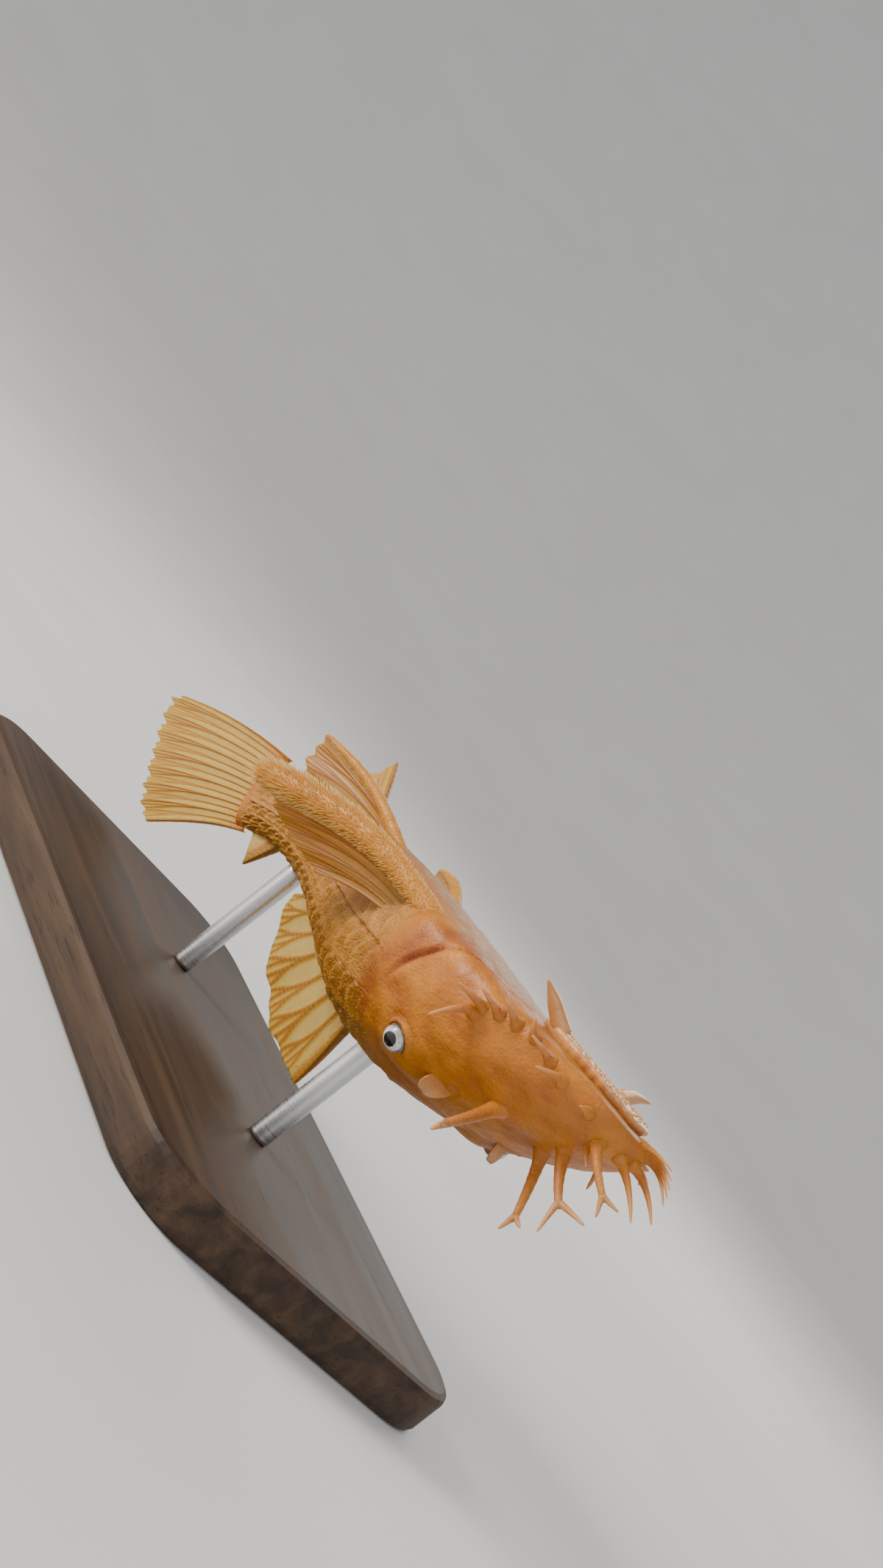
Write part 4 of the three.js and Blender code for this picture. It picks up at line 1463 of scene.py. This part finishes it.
@dataclass
class Fin:
    """A fin: rays that fan from a root line, fork twice on their way out, and carry a thin web."""

    kind: FinKind
    rays: int
    roots: np.ndarray
    ways: np.ndarray
    lengths: Table
    normals: np.ndarray
    arch: np.ndarray = field(default_factory=lambda: np.zeros(3))
    curl: np.ndarray = field(default_factory=lambda: np.zeros(3))
    ruffle: float = 0.22
    lead_girth: float = 0.36
    ray_girth: float = 0.3
    web: float = 0.16
    forks: bool = True
    rows: int = 72
    per_ray: int = 18
    trail_lead: bool = False
    lead_bristle: float = 1.0
    corner: float = 0.0

    def ray_pattern(self, across: np.ndarray, along: np.ndarray) -> tuple[np.ndarray, np.ndarray]:
        """Lays the rays and their forks over the fin.

        Args:
            across: Shares of the way from the first ray to the last.
            along: Shares of the way from root to edge.

        Returns:
            The nearness to a ray, and to the thick leading ray.
        """
        spacing = 1 / (self.rays - 1)
        nearest = np.zeros(across.shape)
        first_fork = ease(0.38, 1.0, along) * 0.27 if self.forks else 0.0 * along
        second_fork = ease(0.66, 1.0, along) * 0.13 if self.forks else 0.0 * along
        for ray in range(self.rays):
            stiff = ray == 0 or (self.trail_lead and ray == self.rays - 1)
            shifts = [(0, 0)] if stiff else [(a, b) for a in (-1, 1) for b in (-1, 1)]
            for one, two in shifts:
                middle = (ray + one * first_fork + two * second_fork) * spacing
                width = spacing * (0.13 - 0.065 * along if self.forks else 0.2)
                nearest = np.maximum(nearest, np.exp(-(((across - middle) / width) ** 2)))
        lead = bump(across, spacing * 0.3)
        if self.trail_lead:
            lead = np.maximum(lead, bump(1 - across, spacing * 0.3))
        return nearest, lead

    def shell(self, plan: BodyPlan) -> Shell:
        """Makes the fin's two faces and its rim, with its rays stored for its finish.

        Args:
            plan: The proportions of the fish.

        Returns:
            The closed shell in world space.
        """
        columns = (self.rays - 1) * self.per_ray + 1
        along, across = np.meshgrid(np.linspace(0, 1, self.rows), np.linspace(0, 1, columns), indexing="ij")
        blend = across[0][:, None]
        roots = self.roots[0] * (1 - blend) + self.roots[1] * blend if len(self.roots) == 2 else self.roots
        ways = unit(self.ways[0] * (1 - blend) + self.ways[1] * blend)
        normals = unit(self.normals[0] * (1 - blend) + self.normals[-1] * blend)
        near, lead = self.ray_pattern(across, along)
        reach = read_table(self.lengths, across[0])[:, 0] * plan.share
        edge = np.cos(across[0] * (self.rays - 1) * 2 * np.pi)
        salt = len(self.kind.value)
        places = [Vector((share * self.rays * 1.7, 3.1, salt)) for share in across[0]]
        frayed = np.array([noise.noise(place) for place in places])
        reach = reach * (1 + 0.014 * edge + 0.022 * frayed - self.corner * np.abs(2 * across[0] - 1) ** 8)
        waves = np.sin(across * (self.rays - 1) * np.pi + 0.7) * self.ruffle * along**1.3
        swing = waves + 0.3 * self.ruffle * np.sin(along * 7 + across * 5)
        middle = roots + ways * (reach * along)[..., None] + normals * swing[..., None]
        middle = middle + self.arch * (np.sin(np.pi * along) * (1 - 0.5 * across))[..., None]
        middle = middle + self.curl * (along**2)[..., None]
        tip = 1 - 0.72 * along**1.4
        half = self.web / 2 * (1 - 0.4 * along) + near * self.ray_girth / 2 * tip
        half = (half + lead * self.lead_girth * tip) * np.where(along > 0.985, 0.55, 1)
        faces_of = [middle + normals * half[..., None], middle - normals * half[..., None]]
        points = np.concatenate([plan.world(f).reshape(-1, 3) for f in faces_of])
        size = self.rows * columns
        faces = sheet_faces(self.rows, columns, closed=False)
        faces += [tuple(corner + size for corner in face[::-1]) for face in faces]
        rim = [(0, i) for i in range(columns)]
        rim += [(i, columns - 1) for i in range(1, self.rows)]
        rim += [(self.rows - 1, i) for i in range(columns - 2, -1, -1)]
        rim += [(i, 0) for i in range(self.rows - 2, 0, -1)]
        loop = [i * columns + j for i, j in rim]
        faces += [(b, a, a + size, b + size) for a, b in zip(loop, loop[1:] + loop[:1])]
        out = [plan.world_way(normals * face) for face in (1, -1)]
        rayward = plan.world_way(ways)
        lie = np.concatenate(
            [np.broadcast_to(unit(rayward + 0.55 * unit(o)), middle.shape).reshape(-1, 3) for o in out]
        )
        joint = 0.5 + 0.5 * np.sin(along * reach / plan.share * 7)
        comb = np.clip(lead * self.lead_bristle + 0.12 * near * ease(0.75, 0.3, along), 0, 1)
        root = ease(0.24, 0.03, along) * 0.85
        one_face = {"ray": np.clip(near + lead, 0, 1), "joint": joint, "comb": comb, "root": root}
        numbers = {name: np.concatenate([values.ravel()] * 2) for name, values in one_face.items()}
        return outward(Shell(points, faces, {**numbers, "lie": lie}))

    def build(self, plan: BodyPlan, finish: Material) -> Piece:
        """Args:
            plan: The proportions of the fish.
            finish: The fin's finish.

        Returns:
            The fin's object.
        """
        piece = self.shell(plan).build(self.kind.value + "_web", finish)
        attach(piece, BODY)
        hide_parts(self.kind.value)
        report(piece)
        return piece


@dataclass
class BristledSpine:
    """The thick club-shaped leading spine of a paired fin, under a velvet of bristles."""

    name: str
    root: np.ndarray
    way: np.ndarray
    arch: np.ndarray
    length: float
    radii: Table
    sides: int = 26

    def build(self, plan: BodyPlan, finish: Material) -> Piece:
        """Makes the spine.

        Args:
            plan: The proportions of the fish.
            finish: The spine's finish.

        Returns:
            The spine's object.
        """
        t = np.concatenate([np.linspace(0, 0.965, 70), [0.98, 0.992, 1.0]])
        path = self.root + self.way * (self.length * t)[:, None] + self.arch * np.sin(np.pi * t)[:, None]
        radii = read_table(self.radii, t)[:, 0] * (1 + 0.03 * np.sin(t * 55))
        radii[-3:] *= np.array([0.9, 0.7, 0.3])
        growth = 0.5 + 1.3 * t**2.2
        comb = np.clip(0.75 + 0.4 * t, 0, 1) * ease(0.02, 0.1, t)
        centre = plan.world(path)
        numbers = {"growth": growth, "comb": comb, "root": ease(0.12, 0.02, t)}
        shell = tube(centre, radii * MM, self.sides, numbers)
        ahead = plan.world_way(self.way)
        owner = np.minimum(np.arange(len(shell.points)) // self.sides, len(path) - 1)
        away = unit(shell.points - centre[owner])
        tipward = np.interp(owner / (len(path) - 1), [0, 0.8, 1], [0.75, 0.75, 1.3])[:, None]
        shell.numbers["lie"] = unit(unit(ahead) * tipward + away * 0.85)
        piece = shell.build(self.name, finish)
        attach(piece, BODY)
        report(piece)
        return piece


@dataclass
class FinSet:
    """All the fins of the fish, set on its body."""

    plan: BodyPlan
    # Roots on the midline: the stations of the first and the last ray, in %
    dorsal: tuple[float, float] = (45.0, 71.0)
    adipose: tuple[float, float] = (87.0, 95.0)
    anal: tuple[float, float] = (73.8, 78.5)
    # The tail's root: its station, and its heights at the back and at the belly, in %
    tail: Place = (99.4, 13.2, 0.2)
    # Roots of the paired fins: station, distance to the side and height, in %
    arm: Place = (30.2, 13.2, 3.3)
    arm_end: Place = (32.2, 13.0, 6.6)
    hip: Place = (57.0, 6.6, 1.4)
    hip_end: Place = (58.8, 5.4, 2.2)
    # Lengths in % across each fin, from its first ray at 0 to its last at 1
    dorsal_reach: Table = ((0, 14.5), (0.35, 16.5), (0.7, 14.5), (1, 8))
    tail_reach: Table = ((0, 22.5), (0.3, 26.5), (0.65, 31), (1, 35.5))
    adipose_reach: Table = ((0, 9.2), (1, 2.6))
    anal_reach: Table = ((0, 13), (1, 8.5))
    pectoral_reach: Table = ((0, 32), (0.5, 27), (1, 18))
    pelvic_reach: Table = ((0, 22.5), (0.5, 20.5), (1, 15))
    # The thick spines: lengths in %, and radii in mm along each
    pectoral_spine: float = 34.0
    pelvic_spine: float = 22.8
    pectoral_radii: Table = ((0, 1.35), (0.3, 1.32), (0.7, 1.58), (0.9, 1.5), (1, 1.1))
    pelvic_radii: Table = ((0, 0.85), (0.6, 0.66), (1, 0.3))
    dorsal_rays: int = 8
    per_ray: int = 18
    # Bristles to the square metre, then their spacing, length and radius in mm:
    # on a pectoral spine, on a pelvic spine, and on the rays
    velvets: tuple[tuple[float, ...], ...] = ((2.2e7, 0.23, 0.72, 0.08), (3.0e7, 0.18, 0.34, 0.05))
    ray_fuzz: tuple[float, ...] = (2.4e7, 0.2, 0.26, 0.04)
    spine_seed: int = 11
    fin_seed: int = 31

    def crest(self, kind: FinKind, stations: np.ndarray | tuple[float, float], inset: float) -> np.ndarray:
        """Finds a root line along the back or the belly.

        Args:
            kind: Which fin grows there.
            stations: The stations of the points of the line.
            inset: How far the root is sunk, in %.

        Returns:
            The points of the line, in mm.
        """
        stations = np.array(stations)
        _, back, belly, _ = self.plan.half_heights(stations).T
        height = belly + inset if kind is FinKind.ANAL else back - inset
        return self.plan.beside(stations, 0, height)

    def foot(self, place: Place, side: Side) -> np.ndarray:
        """Places one end of a paired fin's root.

        Args:
            place: Its station, distance to the side and height, in %.
            side: The fin's side.

        Returns:
            The point, in mm.
        """
        station, left, up = place
        return self.plan.beside(station, left * side, up)

    def median_fins(self) -> list[Fin]:
        """Lays out the fins on the fish's midline.

        Returns:
            The dorsal, tail, adipose and anal fins.
        """
        plan = self.plan
        start, end = self.dorsal
        back_line = np.linspace(start, end, (self.dorsal_rays - 1) * self.per_ray + 1)
        dorsal = Fin(
            FinKind.DORSAL, self.dorsal_rays, self.crest(FinKind.DORSAL, back_line, 2),
            np.array([plan.towards(start, 0.3, -0.4, 1), plan.towards(end, 1, -0.1, 0.4)]),
            self.dorsal_reach,
            np.array([plan.towards(station, 0.1, 1, 0.36) for station in self.dorsal]),
            ray_girth=0.42, lead_girth=0.34, ruffle=0.3, per_ray=self.per_ray,
        )
        tail = Fin(
            FinKind.TAIL, 16,
            np.array([plan.beside(self.tail[0], 0, height) for height in self.tail[1:]]),
            np.array([plan.towards(100, 1, 0, 0.16), plan.towards(100, 1, 0, -0.12)]),
            self.tail_reach,
            np.array([plan.towards(100, 0, 1, 0)] * 2),
            curl=plan.towards(100, 0, 0.4, 1) * 3.9, ray_girth=0.42, lead_girth=0.3, trail_lead=True,
            ruffle=0.28, rows=84, corner=0.12,
        )
        adipose = Fin(
            FinKind.ADIPOSE, 2, self.crest(FinKind.ADIPOSE, self.adipose, 1.6),
            np.array([plan.towards(self.adipose[0], 0.9, 0, 1), plan.towards(self.adipose[1], 1, 0, 0.75)]),
            self.adipose_reach,
            np.array([plan.towards(90, 0, 1, 0)] * 2),
            lead_girth=0.55, ray_girth=0.1, forks=False, rows=40, per_ray=30, ruffle=0.05,
        )
        anal = Fin(
            FinKind.ANAL, 5, self.crest(FinKind.ANAL, self.anal, 1.4),
            np.array([plan.towards(self.anal[0], 0.75, 0, -1), plan.towards(self.anal[1], 1, 0, -0.5)]),
            self.anal_reach,
            np.array([plan.towards(76, 0, 1, 0)] * 2),
            lead_girth=0.3, rows=56,
        )
        return [dorsal, tail, adipose, anal]

    def paired_fins(self, side: Side) -> tuple[list[Fin], list[BristledSpine]]:
        """Lays out one side's pectoral and pelvic fins with their spines.

        Args:
            side: The fins' side.

        Returns:
            The fins and the spines.
        """
        plan = self.plan
        arm = self.foot(self.arm, side)
        arm_end = self.foot(self.arm_end, side)
        ahead = plan.towards(34, 1, 0.56 * side, 0.21)
        behind = plan.towards(34, 1, 0.4 * side, 0.3)
        arm_out = unit(np.cross(ahead, arm_end - arm))
        arm_arch = plan.towards(34, 0, 0, -1) * 2.8
        pectoral = Fin(
            FinKind["PECTORAL_" + side.name], 7, np.array([arm, arm_end]), np.array([ahead, behind]),
            self.pectoral_reach, np.array([arm_out] * 2), arch=arm_arch, lead_girth=0.3,
            lead_bristle=0.0, rows=84,
        )
        hip = self.foot(self.hip, side)
        hip_end = self.foot(self.hip_end, side)
        leg = plan.towards(55, 1, 0.42 * side, -0.14)
        inner = plan.towards(55, 1, 0.5 * side, 0.34)
        leg_out = unit(np.cross(leg, inner))
        leg_arch = plan.towards(55, 0, 0, -1) * 1.3
        pelvic = Fin(
            FinKind["PELVIC_" + side.name], 6, np.array([hip, hip_end]), np.array([leg, inner]),
            self.pelvic_reach, np.array([leg_out] * 2), arch=leg_arch, lead_girth=0.3,
            lead_bristle=0.0, rows=76,
        )
        spines = [
            BristledSpine(
                f"pectoral_spine_{side.word}", arm, ahead, arm_arch, self.pectoral_spine * plan.share,
                self.pectoral_radii,
            ),
            BristledSpine(
                f"pelvic_spine_{side.word}", hip, leg, leg_arch, self.pelvic_spine * plan.share,
                self.pelvic_radii,
            ),
        ]
        return [pectoral, pelvic], spines

    def build(self, web: Material, amber: Material, bone: Material, bristle: Material) -> None:
        """Makes every fin, its spines and their bristles.

        Args:
            web: The finish of the fins on the midline.
            amber: The finish of the paired fins, a darker copy of the web that is painted shade on the
                pelvic fins.
            bone: The finish of the thick spines.
            bristle: The finish of the bristles.
        """
        fins = self.median_fins()
        for side in Side:
            pair, spines = self.paired_fins(side)
            fins += pair
            for number, (spine, velvet) in enumerate(zip(spines, self.velvets)):
                piece = spine.build(self.plan, bone)
                seed = self.spine_seed + number + side
                BristleField(spine.name + "_bristles", *velvet, seed).build(piece, bristle, "fin")
        for number, fin in enumerate(fins):
            piece = fin.build(self.plan, amber if fin.kind.paired else web)
            fuzz = BristleField(fin.kind.value + "_bristles", *self.ray_fuzz, self.fin_seed + number)
            fuzz.build(piece, bristle, "fin")


@dataclass
class Mouth:
    """The sucker mouth: a lip disc with papillae, a barbel at each corner, and two combs of teeth."""

    plan: BodyPlan
    station: float = 10.8
    half: float = 8.6
    reach: float = 8.5
    # The disc from its wall to its throat: shares of its radius, and heights off the belly in mm
    profile: tuple[tuple[float, float], ...] = (
        (0.86, -1.0),
        (0.93, -0.3),
        (0.98, 0.15),
        (1.0, 0.5),
        (0.985, 0.78),
        (0.94, 0.95),
        (0.86, 1.05),
        (0.76, 1.08),
        (0.64, 1.0),
        (0.52, 0.9),
        (0.42, 0.84),
        (0.36, 0.8),
        (0.3, 0.62),
        (0.2, 0.0),
        (0.06, -0.3),
    )
    tooth_count: int = 34
    tooth_row: float = 2.6
    tooth_length: float = 0.95
    tooth_radius: float = 0.06
    seed: int = 5

    def rim(self, share: np.ndarray, turn: np.ndarray, proud: np.ndarray) -> np.ndarray:
        """Places points of the disc.

        Args:
            share: Shares of the disc's radius.
            turn: Angles round it, in radians.
            proud: Heights off the belly, in mm.

        Returns:
            Points in the fish's frame.
        """
        lobes = 1 + 0.02 * np.cos(turn * 10) + 0.008 * np.cos(turn * 37)
        station = self.station - self.reach * share * lobes * np.cos(turn)
        left = self.half * share * lobes * np.sin(turn)
        belly = self.plan.half_heights(np.maximum(station, 2).ravel())[:, 2].reshape(station.shape)
        return self.plan.beside(station, left, belly - proud / self.plan.share)

    def disc(self) -> Shell:
        """Makes the lip disc, hollowed at the mouth opening.

        Returns:
            The disc's shell in world space.
        """
        ring = np.array(self.profile)
        fine = np.linspace(0, len(ring) - 1, 96)
        share = np.interp(fine, np.arange(len(ring)), ring[:, 0])
        proud = np.interp(fine, np.arange(len(ring)), ring[:, 1])
        turn = np.linspace(0, 2 * np.pi, 240, endpoint=False)
        share, turn = np.meshgrid(share, turn, indexing="ij")
        inner = ease(0.5, 0.3, share)
        proud = np.repeat(proud[:, None], turn.shape[1], axis=1)
        stretch = 1 + 0.3 * inner * np.abs(np.sin(turn))
        folds = 0.06 * np.sin(turn * 26) * ease(0.4, 0.6, share) * ease(1.0, 0.9, share)
        points = self.rim(share * stretch, turn, proud + folds)
        moved = self.plan.world(points)
        way = self.plan.world_way(self.plan.towards(10, 0.1, 0, -1))
        down = np.broadcast_to(unit(way), moved.shape)
        comb = ease(0.42, 0.52, share) * ease(1.0, 0.93, share) * (proud > 0.7)
        return ringed_shell(moved, {"throat": inner, "comb": comb, "lie": down})

    def barbel(self, side: Side) -> Shell:
        """Makes the pointed barbel at one corner of the mouth.

        Args:
            side: The corner's side.

        Returns:
            The barbel's tube in world space.
        """
        root = self.plan.beside(12.6, 7.0 * side, -1.3)
        tip = self.plan.beside(14.4, 13.2 * side, -3.9)
        t = np.linspace(0, 1, 24)[:, None]
        sag = self.plan.towards(12, 0.6, 0, -0.2) * np.sin(np.pi * t) * 0.5
        radii = np.interp(t[:, 0], [0, 0.5, 0.92, 1], [1.05, 0.78, 0.22, 0.06])
        return tube(self.plan.world(root * (1 - t) + tip * t + sag), radii * MM, 16)

    def teeth(self) -> Shell:
        """Makes the comb of fine curved teeth in each jaw.

        Returns:
            All the teeth in world space.
        """
        shells = []
        for jaw in (-1, 1):
            for place in np.linspace(-self.tooth_row, self.tooth_row, self.tooth_count):
                start = self.plan.beside(self.station + 0.2 + jaw * 0.95, place, -1.1)
                back = self.plan.towards(10, -jaw * 0.55, 0, -0.8)
                t = np.linspace(0, 1, 6)[:, None]
                curl = self.plan.towards(10, -jaw, 0, 0) * 0.35 * t**2
                path = start + back * self.tooth_length * t + curl
                radii = self.tooth_radius * (1 - 0.6 * t[:, 0])
                shells.append(tube(self.plan.world(path), radii * MM, 5, {"along": t[:, 0]}))
        return Shell.join(shells)

    def build(self, lips: Material, enamel: Material) -> None:
        """Args:
            lips: The finish of the lips and papillae.
            enamel: The finish of the teeth.
        """
        shells = [self.disc(), *(self.barbel(side) for side in Side)]
        piece = Shell.join(shells).build("mouth_lips", lips)
        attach(piece, BODY)
        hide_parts("mouth_disc")
        report(piece)
        BristleField("mouth_papillae", 4.0e6, 0.42, 0.28, 0.15, self.seed).build(piece, lips, "lips")
        combs = self.teeth().build("mouth_teeth", enamel)
        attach(combs, BODY)
        report(combs)


@dataclass
class Eye:
    """One eyeball in its socket, looking out from the side of the head."""

    plan: BodyPlan
    side: Side
    rings: int = 56
    sides: int = 72

    def build(self, finish: Material) -> None:
        """Makes the eyeball, with its gaze stored for its finish, in place of its node.

        Args:
            finish: The finish of the eyeball.
        """
        centre, axis = self.plan.eye_axis(self.side)
        up = unit(np.array([0.0, 0, 1]) - axis * axis[2])
        across = np.cross(up, axis)
        tilt = np.linspace(0.02, np.pi - 0.02, self.rings)[:, None]
        turn = np.linspace(0, 2 * np.pi, self.sides, endpoint=False)[None, :]
        radius = self.plan.eye_radius * (1 + 0.035 * bump(tilt, 0.5))
        flat_x = radius * np.sin(tilt) * np.cos(turn)
        flat_y = radius * np.sin(tilt) * np.sin(turn)
        depth = radius * np.cos(tilt) * np.ones_like(turn)
        points = centre + across * flat_x[..., None] + up * flat_y[..., None] + axis * depth[..., None]
        behind = (depth < 0) * 5.0
        gaze = np.stack([flat_x + behind, flat_y, np.zeros_like(flat_x)], axis=-1)
        word = self.side.word
        piece = ringed_shell(self.plan.world(points), {"gaze": gaze}).build(f"eyeball_{word}", finish)
        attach(piece, BODY)
        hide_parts(f"eye_{word}")
        report(piece)


@dataclass
class Stand:
    """The plain display stand: a wooden base and two steel rods up to the fish's back."""

    plan: BodyPlan
    rod_radius: float = 1.5
    base_top: float = 6.0
    chamfer: float = 0.2
    foot_gap: float = 0.02
    sides: int = 56
    rods: tuple[tuple[str, float], ...] = (("front", 38.5), ("rear", 80.5))

    def rod(self, name: str, station: float, finish: Material) -> None:
        """Makes one rod, chamfered at its foot, in place of its node.

        Args:
            name: The rod's word.
            station: Where it meets the back, in %.
            finish: The rod's finish.
        """
        back = self.plan.half_heights(station)[0, 1]
        top = self.plan.world(self.plan.beside(station, 0, back - 1.0)) / MM
        foot = [self.base_top + self.foot_gap, self.base_top + 0.3]
        heights = np.array([*foot, *np.linspace(self.base_top + 0.6, top[2], 12)])
        radii = np.full(len(heights), self.rod_radius)
        radii[0] -= self.chamfer
        turn = np.linspace(0, 2 * np.pi, self.sides, endpoint=False)
        rings = np.stack(
            [
                top[0] + radii[:, None] * np.cos(turn),
                top[1] + radii[:, None] * np.sin(turn),
                np.repeat(heights[:, None], len(turn), axis=1),
            ],
            axis=-1,
        )
        piece = ringed_shell(rings * MM).build(f"steel_rod_{name}", finish)
        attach(piece, BODY)
        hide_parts(f"stand_rod_{name}")
        report(piece)

    def build(self, frame: dict, wood: Material, steel: Material) -> None:
        """Dresses the base and makes the rods.

        Args:
            frame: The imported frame.
            wood: The base's finish.
            steel: The rods' finish.
        """
        base = frame["nodes"]["stand_base"]
        base.data.materials.clear()
        base.data.materials.append(wood)
        report(base)
        for name, station in self.rods:
            self.rod(name, station, steel)


@dataclass
class Studio:
    """A pale floor that sweeps up on all sides, soft lights and the camera."""

    flat: float = 0.55
    far: float = 2.6
    wall: float = 1.5
    sides: int = 96
    # Each soft light: its place and side in metres, its power in watts and its colour
    lamps: tuple[tuple[str, Place, float, float, Colour], ...] = (
        ("key", (-0.22, -0.6, 0.26), 0.26, 6.0, (1.0, 0.95, 0.88)),
        ("fill", (0.7, -0.12, 0.3), 0.5, 1.4, (0.98, 0.98, 1.0)),
        ("back", (-0.35, 0.5, 0.45), 0.4, 2.2, (1.0, 0.97, 0.92)),
    )
    aim: Place = (0, 0, 0.03)
    sky_power: float = 0.75
    sky_spread: float = 70.0
    sky_tilt: tuple[float, float] = (28.0, 14.0)
    air: tuple[float, ...] = (0.95, 0.96, 1.0, 1.0)
    air_strength: float = 0.3
    camera_at: Place = (133.7, -149.5, 9.5)
    right: Place = (0.3598, 0.4987, 0.7886)
    up: Place = (-0.4763, -0.6286, 0.6148)
    back: Place = (0.8023, -0.5968, 0.0114)
    focal_pixels: float = 2645.0
    frame_height: float = 2131.0

    def floor(self) -> None:
        """Makes the floor and its sweep."""
        radius = np.concatenate([np.linspace(0.02, self.flat, 12), np.linspace(self.flat, self.far, 40)[1:]])
        rise = self.wall * np.clip((radius - self.flat) / (self.far - self.flat), 0, 1) ** 2.2
        turn = np.linspace(0, 2 * np.pi, self.sides, endpoint=False)
        x = radius[:, None] * np.cos(turn)
        y = radius[:, None] * np.sin(turn)
        rings = np.stack([x, y, np.repeat(rise[:, None], self.sides, axis=1)], axis=-1)
        points = np.concatenate([rings.reshape(-1, 3), [[0, 0, 0]]])
        faces = sheet_faces(len(radius), self.sides, closed=True)
        faces += [(len(points) - 1, i, (i + 1) % self.sides) for i in range(self.sides)]
        piece = Shell(points, faces).build("floor", StudioPaper().material())

    def lamp(self, name: str, at: Place, size: float, power: float, tone: Colour) -> None:
        """Adds a soft square light that faces the fish.

        Args:
            name: The light's name.
            at: Its place in metres.
            size: Its side in metres.
            power: Its power in watts.
            tone: Its colour.
        """
        light = bpy.data.lights.new(name, "AREA")
        light.size = size
        light.energy = power
        light.color = tone
        lamp = bpy.data.objects.new(name, light)
        lamp.location = at
        lamp.rotation_euler = (Vector(self.aim) - Vector(at)).to_track_quat("-Z", "Y").to_euler()
        bpy.context.scene.collection.objects.link(lamp)

    def build(self, plan: BodyPlan) -> None:
        """Makes the studio round the fish.

        Args:
            plan: The proportions of the fish.
        """
        self.floor()
        for lamp in self.lamps:
            self.lamp(*lamp)
        sky = bpy.data.lights.new("sky", "SUN")
        sky.energy = self.sky_power
        sky.angle = math.radians(self.sky_spread)
        overhead = bpy.data.objects.new("sky", sky)
        overhead.rotation_euler = (*(math.radians(tilt) for tilt in self.sky_tilt), 0)
        bpy.context.scene.collection.objects.link(overhead)
        world = bpy.data.worlds.new("studio")
        world.use_nodes = True
        background = world.node_tree.nodes["Background"].inputs
        background["Color"].default_value = self.air
        background["Strength"].default_value = self.air_strength
        bpy.context.scene.world = world
        self.camera(plan)

    def camera(self, plan: BodyPlan) -> None:
        """Sets the camera where the photograph was taken from.

        Args:
            plan: The proportions and the place of the fish.
        """
        data = bpy.data.cameras.new("camera")
        data.lens = self.focal_pixels * data.sensor_width / self.frame_height
        data.clip_start = 0.01
        data.clip_end = 20
        camera = bpy.data.objects.new("camera", data)
        place = Vector(self.camera_at) + Vector((plan.shift, 0, plan.height))
        turn = Matrix((self.right, self.up, self.back)).transposed().to_4x4()
        camera.matrix_world = Matrix.Translation(place * MM) @ turn
        bpy.context.scene.collection.objects.link(camera)
        bpy.context.scene.camera = camera


def placed_plan() -> BodyPlan:
    """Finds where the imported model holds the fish, from its left eye.

    Returns:
        The proportions of the fish, with its place.
    """
    plain = BodyPlan()
    low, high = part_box("eye_left")
    eye, _ = plain.eye_axis(Side.LEFT)
    middle = (np.array(low) + np.array(high)) / 2 / MM
    return BodyPlan(shift=float(middle[0] - eye[0]), height=float(middle[2] + eye[2]))


def main() -> None:
    """Builds the fish, its stand and the studio."""
    logging.basicConfig(level=logging.INFO, format="%(name)s: %(message)s")
    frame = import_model()
    plan = placed_plan()
    log.info("fish at %.2f mm along and %.2f mm up", plan.shift, plan.height)
    bristle = Bristle().material()
    skin = FishSkin(plan).build(LivingSkin().material())
    plate_bristles = BristleField(
        "plate_bristles", density=1.1e7, spacing=0.3, length=0.24, radius=0.04, seed=3
    )
    plate_bristles.build(skin, bristle, "skin")
    # A darker amber copy of the fin web for the paired fins; on the pelvic fins its darkness is painted
    # shade
    paired_web_painted_shade = FinWeb(
        "amber_web_painted_shade", web=(0.42, 0.2, 0.03), olive=(0.33, 0.15, 0.02), ray=(0.24, 0.085, 0.01), clear=0.8
    )
    FinSet(plan).build(FinWeb().material(), paired_web_painted_shade.material(), SpineBone().material(), bristle)
    Mouth(plan).build(LipFlesh().material(), bristle)
    eye_finish = WetEye().material()
    for side in Side:
        Eye(plan, side).build(eye_finish)
    Stand(plan).build(frame, SatinWood().material(), BrushedSteel().material())
    Studio().build(plan)


if __name__ == "__main__":
    main()
